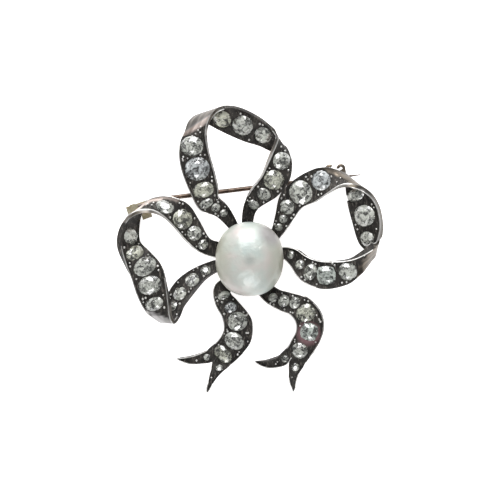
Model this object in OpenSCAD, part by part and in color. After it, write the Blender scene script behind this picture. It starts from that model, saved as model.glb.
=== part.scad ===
// Bow brooch: three ribbon loops and two tails round a pearl, with a hinged pin and a hook on the back.
// It lies on its back. The origin is on the flat back, under the middle of the pearl, and the bow's top is
// towards +Y.

/* [Bow] */
// Width of the bow over its outer ribbons
bow_w = 37; // [34:0.5:41]
// Height of the bow from its top ribbon to the tips of its tails
bow_h = 40; // [37:0.5:44]
// Height of the highest ribbon edge above the back
bow_d = 6; // [5.5:0.1:7]
// Width of the ribbon
ribbon_w = 4.5; // [4:0.1:4.9]
// Thickness of the ribbon where it holds stones
ribbon_t = 1.2; // [1:0.05:1.4]

/* [Pearl] */
// Width of the pearl
pearl_w = 9.5; // [9:0.1:10.5]
// Length of the pearl, along the bow's height
pearl_l = 10.4; // [9.8:0.1:11.5]
// Depth of the pearl, from back to front
pearl_d = 7.8; // [7:0.1:9]
// Diameter of the round boss under the pearl
boss_d = 5.2; // [4.8:0.1:6]
// Height of the boss, from the flat back to the pearl
boss_h = 2.2; // [2:0.05:2.6]
// Diameter of the peg that the pearl is set on
peg_d = 0.9; // [0.7:0.05:1.2]
// Height of the peg above the boss
peg_h = 2.6; // [2:0.1:3.5]

/* [Stones] */
// Table of a stone, as a share of its width
table_share = 0.54; // [0.45:0.01:0.62]
// Height of a stone above its girdle, as a share of its width
crown_share = 0.19; // [0.12:0.01:0.24]
// Depth of a stone below its girdle, as a share of its width
pavilion_share = 0.4; // [0.3:0.01:0.46]
// Thickness of a stone's girdle
girdle_t = 0.08; // [0.04:0.01:0.15]
// Width of the hole through the back of a seat, as a share of the stone's width
window_share = 0.5; // [0.4:0.01:0.6]
// How far a stone's girdle lies below the face of the ribbon
stone_sink = 0.15; // [0.05:0.01:0.3]
// Room left round a stone in its seat
stone_fit = 0.05; // [0.03:0.01:0.08]

/* [Pin] */
// Diameter of the pin
pin_d = 0.64; // [0.54:0.02:0.66]
// Length of the taper at the pin's point
taper_l = 4.5; // [3.5:0.5:7]
// Diameter of the point's end
point_d = 0.1; // [0.06:0.02:0.2]
// How much thicker the pin is from its eye to its bend, on the radius
root_swell = 0.03; // [0.03:0.01:0.06]
// Height of the pin's middle above the back
pin_z = 0.9; // [0.9:0.01:1.1]
// Outer diameter of the eye at the pin's end
eye_d = 1.3; // [1.1:0.05:1.5]
// How much longer the eye is along the rivet than the pin is thick
eye_over = 0.1; // [0.04:0.02:0.14]

/* [Hinge] */
// Outer diameter of the hinge ears
ear_d = 1.84; // [1.6:0.02:1.9]
// Thickness of each ear
ear_t = 0.4; // [0.3:0.05:0.6]
// Thickness of the plate that joins the ears
plate_t = 0.4; // [0.3:0.05:0.5]
// Reach of the plate from the rivet to where it is soldered
tongue_l = 2.2; // [1.8:0.1:2.6]
// Width of the plate's side tongue
tongue_w = 1.4; // [1:0.1:1.6]
// How far the side tongue stands out of the bracket
tongue_out = 0.8; // [0.4:0.1:1.2]
// Diameter of the rivet
rivet_d = 0.46; // [0.4:0.02:0.56]
// Diameter of the rivet's heads
head_d = 0.8; // [0.7:0.02:1]
// Thickness of the rivet's heads
head_t = 0.12; // [0.08:0.02:0.2]
// Room between the rivet and the eye, on the radius
eye_fit = 0.04; // [0.03:0.01:0.06]
// Room between the rivet and the ears, on the radius
ear_fit = 0.02; // [0.01:0.01:0.03]
// Room on each side of the eye between the ears
side_fit = 0.06; // [0.04:0.01:0.1]

/* [Catch] */
// Inner diameter of the hook that the pin lies in
hook_bore = 1.4; // [1.3:0.02:1.44]
// Wall of the hook
hook_t = 0.22; // [0.18:0.01:0.24]
// Length of the hook along the pin
hook_l = 2.9; // [2.7:0.1:3.4]
// Width of the hook's open side, which faces back
mouth_w = 0.86; // [0.82:0.02:1]
// Diameter of the wire of the two curled horns
horn_d = 0.42; // [0.38:0.02:0.5]
// Where the large horn's curl begins, outwards from the pin
large_horn_y = 1.2; // [1.1:0.05:1.4]
// How far round the large horn curls, in degrees
large_horn_curl = 180; // [150:10:230]
// Where the small horn's curl begins, outwards from the pin
small_horn_y = 1.3; // [1.15:0.05:1.5]
// How far round the small horn curls, in degrees
small_horn_curl = 140; // [90:10:180]
// Radius of the large horn's curl
large_horn_r = 0.42; // [0.38:0.02:0.5]
// Radius of the small horn's curl
small_horn_r = 0.45; // [0.4:0.05:0.6]
// Width of the foot that the large horn rises from
horn_foot = 1; // [0.7:0.1:1.1]

/* [Pads] */
// Length of each solder pad, along the pin
pad_l = 1.4; // [1:0.1:1.8]
// Width of each solder pad, across the pin
pad_w = 1.2; // [0.8:0.1:1.6]
// Top of the pad over the hinge, in hundredths of the bow's depth
hinge_pad_top = 62; // [56:1:66]
// Top of the pad over the hook, in hundredths of the bow's depth
hook_pad_top = 78; // [76:1:82]

/* [Fit] */
// Gap that solder or glue fills between two pieces
joint_gap = 0.05; // [0.03:0.01:0.08]

/* [Smoothness] */
// Steps between two rows of a ribbon's table
ribbon_steps = 2; // [2:1:3]
// Sides of the pearl
pearl_sides = 28; // [24:4:36]

/* [Hidden] */
// The drawing is squared 264 across and 286 up, counted from the middle of the pearl.
sq_x = bow_w / 264;
sq_y = bow_h / 286;
// Ribbons and stones are drawn on squares too: a ribbon is 32 of them wide.
sq_r = ribbon_w / 32;
round_fn = 48;
seat_sides = 12;
small_sides = 8;
overlap = 0.01;
// Places tried in each row of a ribbon when a stone looks for its seat
seat_tries = 8;

// A ribbon's rows follow its middle from end to end. Front and back are its two edges: the edge that comes
// forward where the ribbon bends, and the edge that stays behind.
// Columns: front edge x and y, back edge x and y, in squares; heights of the front and back edge, in
// hundredths of bow_d; thickness, in hundredths of ribbon_t.
FX = 0;
FY = 1;
BX = 2;
BY = 3;
FZ = 4;
BZ = 5;
TH = 6;

TOP_LOOP = [
    [-5, 13, -11, 10, 30, 30, 90],
    [-7, 23, -14, 19, 34, 34, 90],
    [-12, 36, -20.5, 30.5, 45, 45, 100],
    [-21.5, 53, -34, 43.5, 57, 57, 100],
    [-30.5, 61.5, -50, 50.5, 68, 64, 100],
    [-31.5, 72, -59, 67.5, 76, 70, 100],
    [-35.5, 89, -67, 87.5, 81, 75, 100],
    [-40.5, 107, -70, 104, 83, 77, 100],
    [-43, 123, -68.5, 117, 88, 73, 80],
    [-41, 135.5, -64.5, 126.5, 93, 68, 45],
    [-35, 146.5, -60.3, 137, 96, 61, 45],
    [-26, 151.5, -51.3, 143.6, 96, 53, 45],
    [-16, 152, -42.3, 137, 95, 50, 50],
    [-4, 148.5, -26.3, 128.2, 93, 53, 55],
    [10, 141, -6.4, 119.4, 92, 54, 55],
    [20, 133, 10.3, 114.5, 93, 48, 50],
    [25.3, 127.5, 23.3, 109.3, 95, 42, 50],
    [27, 122, 34, 112.6, 96, 45, 45],
    [25.5, 115, 37.6, 109.3, 94, 55, 45],
    [22.2, 107.5, 40, 102.8, 91, 64, 70],
    [18.3, 98, 41.6, 96, 88, 70, 100],
    [11.8, 83.3, 39.6, 79.5, 83, 73, 100],
    [2.3, 70.8, 28, 64, 76, 70, 100],
    [-4.8, 56.8, 9, 51.2, 63, 63, 100],
    [-7.8, 38, 3.6, 37.8, 46, 46, 100],
    [-6, 22, 2, 21.5, 34, 34, 90],
    [-5, 12, 2, 12, 30, 30, 90]
];

RIGHT_LOOP = [
    [8, 5, 3, 10, 30, 30, 90],
    [16, 10, 10, 16, 34, 34, 90],
    [30, 20.5, 21.8, 29, 45, 45, 100],
    [42.5, 37.5, 26, 44.5, 58, 58, 100],
    [53, 51.3, 31.5, 65.5, 72, 68, 100],
    [65.5, 56.8, 46, 80, 81, 75, 100],
    [77.3, 64.8, 63, 89.2, 85, 78, 100],
    [88.5, 71.5, 75, 91, 91, 73, 80],
    [98.5, 73.5, 87, 88, 96, 65, 55],
    [109.5, 71.5, 97.5, 82.5, 96, 52, 55],
    [120.6, 64.5, 98, 72, 95, 48, 70],
    [128.4, 52.4, 99.5, 56, 93, 54, 80],
    [131.8, 36, 104, 38, 92, 55, 80],
    [130.5, 22, 111.5, 16.5, 94, 46, 75],
    [126, 16, 123.5, 6, 94, 41, 80],
    [120.5, 11.5, 119.5, -1, 93, 44, 80],
    [113.5, 6.5, 115, -8, 93, 58, 75],
    [101.5, 0.3, 110, -15.3, 88, 72, 85],
    [86.5, -2, 97.5, -25.2, 83, 76, 100],
    [70, -1.6, 74, -29.8, 78, 74, 100],
    [58, 2.5, 53.3, -22, 71, 68, 100],
    [48, 9.5, 42, -7, 60, 57, 100],
    [34, 12, 33.5, 0.5, 46, 45, 100],
    [20, 7, 19, -3, 35, 34, 90],
    [10, 5, 9, -3, 30, 30, 90]
];

LEFT_LOOP = [
    [-8, 2, -7, 8, 30, 30, 90],
    [-18, 1, -17, 11, 34, 34, 90],
    [-32.5, 1, -31.5, 17, 45, 45, 100],
    [-49.5, 6.5, -41.5, 22, 58, 57, 100],
    [-63, 17.5, -51, 39, 71, 68, 100],
    [-75, 31.5, -61, 54, 80, 73, 100],
    [-86.5, 42.5, -74.5, 60.5, 87, 75, 90],
    [-98.5, 47.5, -89.5, 61, 93, 67, 60],
    [-111.5, 46.5, -102, 56.5, 96, 55, 45],
    [-122, 40, -108, 49.5, 96, 46, 45],
    [-129, 27.5, -112, 33, 96, 42, 60],
    [-130, 12, -111, 16.5, 93, 50, 80],
    [-124, -5.5, -99, 5.5, 87, 67, 90],
    [-117.5, -20, -87.3, -7.5, 81, 81, 100],
    [-111.5, -36, -82, -30, 75, 88, 100],
    [-104, -49.5, -79.5, -45, 67, 93, 90],
    [-96.5, -57.3, -78.3, -56.5, 58, 93, 50],
    [-87.5, -62.3, -75, -62.8, 50, 88, 45],
    [-82, -53.5, -70.5, -57.5, 45, 80, 45],
    [-81.5, -38, -66, -46.5, 43, 70, 70],
    [-73, -23.5, -55, -32, 45, 62, 100],
    [-58, -11.5, -43.5, -19.5, 47, 55, 100],
    [-35, -1.5, -31.5, -12.5, 43, 47, 100],
    [-19, 1, -16, -8, 34, 35, 90],
    [-9, 3, -7, -4, 30, 30, 90]
];

LEFT_TAIL = [
    [-2, -10, -8, -7, 30, 30, 90],
    [-6, -16, -14, -12, 34, 34, 90],
    [-14, -27, -25, -18, 43, 43, 100],
    [-19.5, -34.5, -36, -29, 55, 55, 100],
    [-11.8, -42.3, -34.5, -45, 66, 64, 100],
    [0.5, -57, -27, -59, 74, 70, 100],
    [3, -69, -25, -69, 76, 70, 100],
    [1.2, -82.5, -27.5, -76, 74, 68, 100],
    [-6.2, -93.6, -34, -84, 69, 63, 100],
    [-16.2, -103.6, -41, -90, 60, 56, 100]
];

LEFT_TAIL_UPPER_POINT = [
    [-20, -89, -34, -84, 67, 63, 100],
    [-29, -97, -41, -90, 59, 56, 100],
    [-37.5, -103, -44, -92, 54, 54, 100],
    [-48, -104.5, -54, -96, 46, 46, 90],
    [-58, -105, -62, -98, 38, 38, 80],
    [-66, -103, -68.5, -99, 32, 32, 70],
    [-72, -101, -72, -99.5, 28, 28, 50]
];

LEFT_TAIL_LOWER_POINT = [
    [-6.2, -93.6, -20, -89, 69, 67, 100],
    [-16.2, -103.6, -31, -97, 60, 58, 100],
    [-20, -106, -37, -103.5, 56, 56, 100],
    [-27, -112, -38, -109.5, 48, 48, 90],
    [-32, -118, -39.5, -115, 40, 40, 80],
    [-36, -124, -41, -122, 33, 33, 70],
    [-39, -130, -43, -128.5, 28, 28, 60],
    [-41.5, -134, -43, -133, 25, 25, 50]
];

RIGHT_TAIL = [
    [6, -8, 1, -11, 30, 30, 90],
    [12, -13, 3, -19, 34, 34, 90],
    [19.5, -23.3, 6, -31.5, 45, 45, 100],
    [30, -31, 17, -44, 58, 58, 100],
    [41.5, -33.5, 31, -52, 67, 65, 100],
    [57, -38, 41, -56, 72, 68, 100],
    [70, -50.5, 46.5, -63, 75, 69, 100],
    [74.5, -65, 47, -72, 75, 69, 100],
    [72, -79, 43, -79.5, 73, 67, 100],
    [65.3, -91, 37.8, -88.5, 68, 63, 100],
    [57, -102.5, 30, -97, 60, 57, 100]
];

RIGHT_TAIL_LEFT_POINT = [
    [52, -91, 37.8, -88.5, 66, 63, 100],
    [43, -98, 32, -94, 60, 58, 100],
    [38, -104.5, 28, -98, 54, 54, 100],
    [29, -107.5, 21, -100.5, 46, 46, 90],
    [18, -108.5, 14, -102, 37, 37, 75],
    [6.5, -104, 6.5, -102.5, 28, 28, 50]
];

RIGHT_TAIL_LOWER_POINT = [
    [65, -92, 51, -91, 68, 66, 100],
    [57, -102, 42, -99, 60, 58, 100],
    [54, -107, 39.5, -104.5, 55, 55, 100],
    [50, -113, 39.5, -112, 48, 48, 90],
    [48, -119, 39.5, -117.5, 40, 40, 80],
    [47, -125, 40.5, -123, 33, 33, 70],
    [46.5, -129, 42, -128, 28, 28, 60],
    [44.5, -133, 43.5, -132.5, 25, 25, 50]
];

// Columns of the stones: place of the middle x and y, width along and across the ribbon, in squares.
SX = 0;
SY = 1;
ALONG = 2;
ACROSS = 3;

TOP_STONES = [
    [-43.4, 56.4, 9, 14.5],
    [-46, 69.8, 15.5, 21.5],
    [-51.8, 89.9, 23.5, 25],
    [-57.2, 113.4, 20, 23],
    [-26, 139.3, 18, 20],
    [-6.8, 134.6, 20.5, 22.5],
    [13.4, 124.8, 17.5, 21],
    [31.3, 98.6, 17.5, 18.5],
    [24, 79.8, 19.5, 20.5],
    [14, 64.6, 12, 15],
    [4.4, 55.5, 9, 12.5]
];
TOP_SMALL_STONES = [
    [-33.6, 51.8, 8.5, 9.5],
    [-25.6, 46, 7.5, 8]
];
RIGHT_STONES = [
    [38.4, 53.2, 15, 15],
    [52.4, 67.4, 22.5, 24.5],
    [72, 78.6, 19, 20],
    [106.8, 62, 13, 22.5],
    [116, 43, 21.5, 23.5],
    [118.8, 20.8, 15.5, 18.5],
    [98.6, -11.4, 18, 19],
    [78, -15.6, 18.5, 19],
    [61.2, -12.9, 12.5, 17]
];
RIGHT_SMALL_STONES = [
    [34.2, 41.4, 8.5, 8.5],
    [29.6, 32.7, 8, 8],
    [51.5, -5.7, 9, 10],
    [43.3, 3.8, 7.5, 8.5]
];
LEFT_STONES = [
    [-55.4, 26, 15, 15],
    [-66.9, 39.7, 20, 20],
    [-84.3, 51.3, 18.5, 13],
    [-120, 22.5, 17, 21],
    [-115.8, 6, 13.5, 20.5],
    [-104.3, -8, 17.5, 24],
    [-98.9, -27, 18.5, 24],
    [-94, -45, 13, 20],
    [-76.5, -48.2, 10, 11],
    [-69.2, -35.6, 14.5, 14],
    [-56.9, -22, 14.5, 13.5]
];
LEFT_SMALL_STONES = [
    [-46.9, 14.7, 10, 11],
    [-43.6, -11.9, 10, 10]
];
LEFT_TAIL_STONES = [
    [-18.7, -47.3, 11, 12.5],
    [-11.8, -62.8, 18.5, 20],
    [-14.8, -81, 16.5, 20.5],
    [-25.7, -94.3, 14.5, 20.5]
];
LEFT_TAIL_SMALL_STONES = [
    [-25.8, -37.6, 8.5, 13]
];
LEFT_TAIL_UPPER_POINT_STONES = [
    [-42, -98, 7, 7]
];
LEFT_TAIL_LOWER_POINT_STONES = [
    [-30, -108, 8, 8]
];
RIGHT_TAIL_STONES = [
    [34.2, -41.7, 11, 12.5],
    [45.6, -43.6, 10.5, 12.5],
    [56.8, -54, 17.5, 19.5],
    [60, -73, 17.5, 18],
    [50.3, -91, 15.5, 16.5]
];
RIGHT_TAIL_SMALL_STONES = [
    [24, -39.5, 9, 10]
];
RIGHT_TAIL_LEFT_POINT_STONES = [
    [36, -99, 8, 8]
];
RIGHT_TAIL_LOWER_POINT_STONES = [
    [46, -107.5, 9, 8]
];

// The pin's places, in squares: the rivet, the bend and the point, then the middle of the hook on the pin.
RIVET_SQ = [-116, 48.5];
BEND_SQ = [-77, 62];
POINT_SQ = [112, 85];
HOOK_SQ = [87, 82];

// Points and directions
function on_grid(p) = [p[0] * sq_x, p[1] * sq_y];
function unit(v) = v / norm(v);
function angle_of(v) = atan2(v[1], v[0]);

// Middle of a ribbon at one row, and the vector from its back edge to its front edge
function row_middle(r) = [
    (r[FX] + r[BX]) / 2 * sq_x,
    (r[FY] + r[BY]) / 2 * sq_y,
    (r[FZ] + r[BZ]) / 200 * bow_d
];
function row_across(r) = [
    (r[FX] - r[BX]) * sq_r,
    (r[FY] - r[BY]) * sq_r,
    (r[FZ] - r[BZ]) / 100 * bow_d
];

// A smooth curve through the rows: the value of column function number k at place u, counted in rows
function row_value(r, k) = k == 0 ? row_middle(r) : k == 1 ? row_across(r) : r[TH] / 100 * ribbon_t;
function clamp(i, n) = max(0, min(n, i));
function smooth(a, b, c, d, t) =
    b + (c - a) * t / 2 + (2 * a - 5 * b + 4 * c - d) * t * t / 2 + (3 * b - a - 3 * c + d) * t * t * t / 2;
function ribbon_value(rows, u, k) =
    let (n = len(rows) - 1, i = clamp(floor(u), n - 1), t = u - i)
    smooth(
        row_value(rows[clamp(i - 1, n)], k), row_value(rows[i], k),
        row_value(rows[i + 1], k), row_value(rows[clamp(i + 2, n)], k), t
    );

// Direction along the ribbon at u, and the direction out of its face
function ribbon_along(rows, u) =
    let (n = len(rows) - 1, h = 0.2)
    unit(ribbon_value(rows, min(n, u + h), 0) - ribbon_value(rows, max(0, u - h), 0));
function ribbon_normal(rows, u) = unit(cross(ribbon_value(rows, u, 1), ribbon_along(rows, u)));

// One section of a ribbon: a flat bar
function ribbon_section(rows, u) =
    let (
        m = ribbon_value(rows, u, 0),
        across = ribbon_value(rows, u, 1),
        w = norm(across) / 2,
        h = ribbon_value(rows, u, 2) / 2,
        side = unit(across),
        out = ribbon_normal(rows, u),
        corners = [[-w, -h], [-w, h], [w, h], [w, -h]]
    )
    [for (p = corners) m + side * p[0] + out * p[1]];

// A solid skin over a list of sections that all have the same number of points
module skin(sections) {
    n = len(sections[0]);
    last = len(sections) - 1;
    walls = [
        for (i = [0 : last - 1], j = [0 : n - 1])
            let (a = i * n + j, b = i * n + (j + 1) % n)
            each [[a, b + n, b], [a, a + n, b + n]]
    ];
    ends = [for (j = [1 : n - 2]) each [[0, j, j + 1], [last * n, last * n + j + 1, last * n + j]]];
    polyhedron([for (s = sections) each s], concat(walls, ends));
}

// A ribbon between two of its rows
module ribbon(rows, first, last) {
    skin([for (i = [0 : (last - first) * ribbon_steps]) ribbon_section(rows, first + i / ribbon_steps)]);
}

// A whole loop, in two halves that meet far from the knot, because its two ends cross under the pearl
module loop(rows) {
    half = floor(len(rows) / 2);
    ribbon(rows, 0, half);
    ribbon(rows, half, len(rows) - 1);
}

// The place on a ribbon nearest to a stone, in rows
function nearest_u(rows, p) =
    let (
        n = len(rows) - 1,
        us = [for (i = [seat_tries : n * seat_tries]) i / seat_tries],
        ds = [for (u = us) let (m = ribbon_value(rows, u, 0)) norm([m[0] - p[0], m[1] - p[1]])],
        best = min(ds)
    )
    [for (i = [0 : len(us) - 1]) if (ds[i] == best) us[i]][0];

// Middle of a stone on the ribbon's face, with its along and outward directions
function stone_seat(rows, s) =
    let (
        p = on_grid([s[SX], s[SY]]),
        u = nearest_u(rows, p),
        m = ribbon_value(rows, u, 0),
        side = unit(ribbon_value(rows, u, 1)),
        flat_side = unit([side[0], side[1]]),
        off = ([p[0] - m[0], p[1] - m[1]] * flat_side) / norm([side[0], side[1]]),
        normal = ribbon_normal(rows, u),
        out = normal[2] < 0 ? -normal : normal,
        face = m + side * off + out * ribbon_value(rows, u, 2) / 2
    )
    [face, ribbon_along(rows, u), out];

// Moves its children from the origin to a stone's seat, with X along the ribbon and Z out of its face
module at_seat(seat) {
    x = unit(seat[1] - seat[2] * (seat[1] * seat[2]));
    z = seat[2];
    y = cross(z, x);
    p = seat[0];
    multmatrix([
        [x[0], y[0], z[0], p[0]],
        [x[1], y[1], z[1], p[1]],
        [x[2], y[2], z[2], p[2]],
        [0, 0, 0, 1]
    ]) children();
}

// A ring of points on an ellipse at height z
function ring(n, a, b, z, turn = 0) =
    [for (i = [0 : n - 1]) let (t = i * 360 / n + turn) [a * cos(t), b * sin(t), z]];

// A cut stone: an octagon table and the facets round it, over a girdle of sixteen sides, and a pavilion
module cut_stone(along, across) {
    a = along / 2;
    b = across / 2;
    w = min(along, across);
    points = concat(
        ring(8, a * table_share, b * table_share, crown_share * w, 22.5),
        ring(16, a, b, 0),
        ring(16, a, b, -girdle_t),
        [[0, 0, -girdle_t - pavilion_share * w]]
    );
    crown = [
        for (i = [0 : 7])
            let (t = i, next = (i + 1) % 8, g = 8 + 2 * i)
            each [
                [t, g + 1, g],
                [t, 8 + (2 * i + 2) % 16, g + 1],
                [t, next, 8 + (2 * i + 2) % 16]
            ]
    ];
    girdle = [
        for (i = [0 : 15])
            let (j = (i + 1) % 16)
            each [[8 + i, 8 + j, 24 + j], [8 + i, 24 + j, 24 + i]]
    ];
    pavilion = [for (i = [0 : 15]) [24 + i, 24 + (i + 1) % 16, 40]];
    polyhedron(points, concat([[for (i = [7 : -1 : 0]) i]], crown, girdle, pavilion));
}

// A small stone: a simpler cut with eight sides
module small_stone(along, across) {
    a = along / 2;
    b = across / 2;
    w = min(along, across);
    hull() {
        linear_extrude(crown_share * w, scale = table_share) scale([a, b]) circle(1, $fn = small_sides);
        translate([0, 0, -girdle_t]) linear_extrude(girdle_t) scale([a, b]) circle(1, $fn = small_sides);
        translate([0, 0, -girdle_t - pavilion_share * w]) linear_extrude(overlap) circle(overlap, $fn = 4);
    }
}

// The seat that is cut for a stone: open at the face, sloping to a window in the back
module seat_cut(along, across) {
    grow = 1 / cos(180 / seat_sides);
    a = (along / 2 + stone_fit) * grow;
    b = (across / 2 + stone_fit) * grow;
    step = -girdle_t - stone_fit;
    deep = step - max(ribbon_t, (1 - window_share) * pavilion_share * min(along, across));
    hull() {
        translate([0, 0, step]) linear_extrude(ribbon_t) scale([a, b]) circle(1, $fn = seat_sides);
        translate([0, 0, deep])
            linear_extrude(overlap) scale([a, b] * window_share) circle(1, $fn = seat_sides);
    }
}

module placed_stone(rows, s, small = false) {
    color("gainsboro")
        at_seat(stone_seat(rows, s)) translate([0, 0, -stone_sink])
            if (small) small_stone(s[ALONG] * sq_r, s[ACROSS] * sq_r);
            else cut_stone(s[ALONG] * sq_r, s[ACROSS] * sq_r);
}

module stone_group(rows, stones) {
    for (s = stones) placed_stone(rows, s, small = true);
}

module left_tail_small_stones() {
    stone_group(LEFT_TAIL, LEFT_TAIL_SMALL_STONES);
    stone_group(LEFT_TAIL_UPPER_POINT, LEFT_TAIL_UPPER_POINT_STONES);
    stone_group(LEFT_TAIL_LOWER_POINT, LEFT_TAIL_LOWER_POINT_STONES);
}

module right_tail_small_stones() {
    stone_group(RIGHT_TAIL, RIGHT_TAIL_SMALL_STONES);
    stone_group(RIGHT_TAIL_LEFT_POINT, RIGHT_TAIL_LEFT_POINT_STONES);
    stone_group(RIGHT_TAIL_LOWER_POINT, RIGHT_TAIL_LOWER_POINT_STONES);
}

module seats(rows, stones) {
    for (s = stones)
        at_seat(stone_seat(rows, s))
            translate([0, 0, -stone_sink]) seat_cut(s[ALONG] * sq_r, s[ACROSS] * sq_r);
}

// Pearl
pearl_z = boss_h + joint_gap + pearl_d / 2;

module pearl_form(extra = 0) {
    translate([0, 0, pearl_z])
        scale([pearl_w / 2 + extra, pearl_l / 2 + extra, pearl_d / 2 + extra]) sphere(1, $fn = pearl_sides);
}

module pearl() {
    color("lightsteelblue")
        difference() {
            pearl_form();
            cylinder(h = boss_h + peg_h + joint_gap, d = peg_d + 2 * joint_gap, $fn = round_fn);
        }
}

// Back fittings: everything on the pin's line
rivet = on_grid(RIVET_SQ);
bend = on_grid(BEND_SQ);
point = on_grid(POINT_SQ);
hook = on_grid(HOOK_SQ);
root_angle = angle_of(bend - rivet);
main_angle = angle_of(point - bend);
turn_angle = root_angle - main_angle;
root_l = norm(bend - rivet);
main_l = norm(point - bend);
// The thicker root goes past the bend by just enough to take in the end of the main run.
bend_lap = pin_d / 2 * sin(turn_angle) + overlap;
eye_t = pin_d + eye_over;
bracket_w = eye_t + 2 * side_fit + 2 * ear_t;
hook_od = hook_bore + 2 * hook_t;

// Moves its children so that +X runs along the pin from a place on it
module on_pin(p, angle) {
    translate([p[0], p[1], pin_z]) rotate(angle) children();
}

// Lays a cylinder's axis along X or Y
module along_x() {
    rotate([0, 90, 0]) children();
}
module along_y() {
    rotate([-90, 0, 0]) children();
}

module pin_stem() {
    color("rosybrown")
        on_pin(rivet, root_angle) {
            difference() {
                union() {
                    along_y() cylinder(h = eye_t, d = eye_d, center = true, $fn = round_fn);
                    along_x() cylinder(h = root_l + bend_lap, d = pin_d + 2 * root_swell, $fn = round_fn);
                }
                along_y() cylinder(h = 2 * eye_t, d = rivet_d + 2 * eye_fit, center = true, $fn = round_fn);
            }
            translate([root_l, 0, 0])
                rotate(-turn_angle) along_x()
                    rotate_extrude($fn = round_fn)
                        polygon([
                            [0, 0],
                            [pin_d / 2, 0],
                            [pin_d / 2, main_l - taper_l],
                            [point_d / 2, main_l],
                            [0, main_l]
                        ]);
        }
}

module hinge_bracket() {
    color("goldenrod")
        on_pin(rivet, root_angle)
            difference() {
                union() {
                    for (side = [-1, 1])
                        translate([0, side * (bracket_w - ear_t) / 2, 0]) {
                            along_y() cylinder(h = ear_t, d = ear_d, center = true, $fn = round_fn);
                            translate([-ear_d / 2, -ear_t / 2, 0]) cube([ear_d, ear_t, ear_d / 2]);
                        }
                    translate([-ear_d / 2, -bracket_w / 2, ear_d / 2 - overlap])
                        cube([ear_d / 2 + tongue_l, bracket_w, plate_t + overlap]);
                    translate([tongue_l - tongue_w, -bracket_w / 2 - tongue_out, ear_d / 2 - overlap])
                        cube([tongue_w, bracket_w / 2 + tongue_out, plate_t + overlap]);
                }
                along_y()
                    cylinder(h = 2 * bracket_w, d = rivet_d + 2 * ear_fit, center = true, $fn = round_fn);
            }
}

module hinge_rivet() {
    color("peru")
        on_pin(rivet, root_angle) {
            along_y() cylinder(h = bracket_w + 2 * ear_fit, d = rivet_d, center = true, $fn = round_fn);
            for (side = [-1, 1])
                translate([0, side * (bracket_w + head_t + 2 * ear_fit) / 2, 0])
                    along_y() cylinder(h = head_t, d = head_d, center = true, $fn = round_fn);
        }
}

// A curled horn on the hook's end: a straight wire away from the bow, then a curl inwards over the hook.
// Its foot is a flat wedge that the wire rises from.
module horn(side, top, r, curl, foot_w = 0) {
    foot = hook_bore / 2 + joint_gap;
    translate([side * (hook_l - horn_d) / 2, foot, hook_od / 2 - horn_d / 2 - overlap])
        mirror([side > 0 ? 0 : 1, 0, 0]) {
            along_y() cylinder(h = top - foot, d = horn_d, $fn = round_fn);
            translate([-r, top - foot, 0])
                rotate_extrude(angle = curl, $fn = round_fn)
                    translate([r, 0]) circle(d = horn_d, $fn = round_fn);
            if (foot_w > 0)
                translate([0, 0, -horn_d / 4])
                    linear_extrude(horn_d / 2)
                        polygon([[0, 0], [-foot_w, 0], [0, top - foot]]);
        }
}

module catch() {
    color("goldenrod")
        on_pin(hook, main_angle) {
            difference() {
                union() {
                    along_x() cylinder(h = hook_l, d = hook_od, center = true, $fn = round_fn);
                    translate([-hook_l / 2, -hook_od / 2, hook_od / 2 - hook_t])
                        cube([hook_l, hook_od, hook_t]);
                }
                along_x() cylinder(h = 2 * hook_l, d = hook_bore, center = true, $fn = round_fn);
                translate([-hook_l, -mouth_w / 2, -hook_od]) cube([2 * hook_l, mouth_w, hook_od]);
            }
            horn(1, large_horn_y, large_horn_r, large_horn_curl, horn_foot);
            horn(-1, small_horn_y, small_horn_r, small_horn_curl);
        }
}

// A pad under a ribbon that a fitting is soldered to: from just above the fitting up into the ribbon
module pad(size, low, high) {
    translate([0, 0, (low + high) / 2 - pin_z]) cube([size[0], size[1], high - low], center = true);
}

module pads() {
    on_pin(rivet, root_angle)
        translate([tongue_l - pad_l / 2, 0, 0])
            pad([pad_l, pad_w], pin_z + ear_d / 2 + plate_t + joint_gap, hinge_pad_top / 100 * bow_d);
    on_pin(hook, main_angle)
        pad([pad_l, pad_w], pin_z + hook_od / 2 + joint_gap, hook_pad_top / 100 * bow_d);
}

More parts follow.
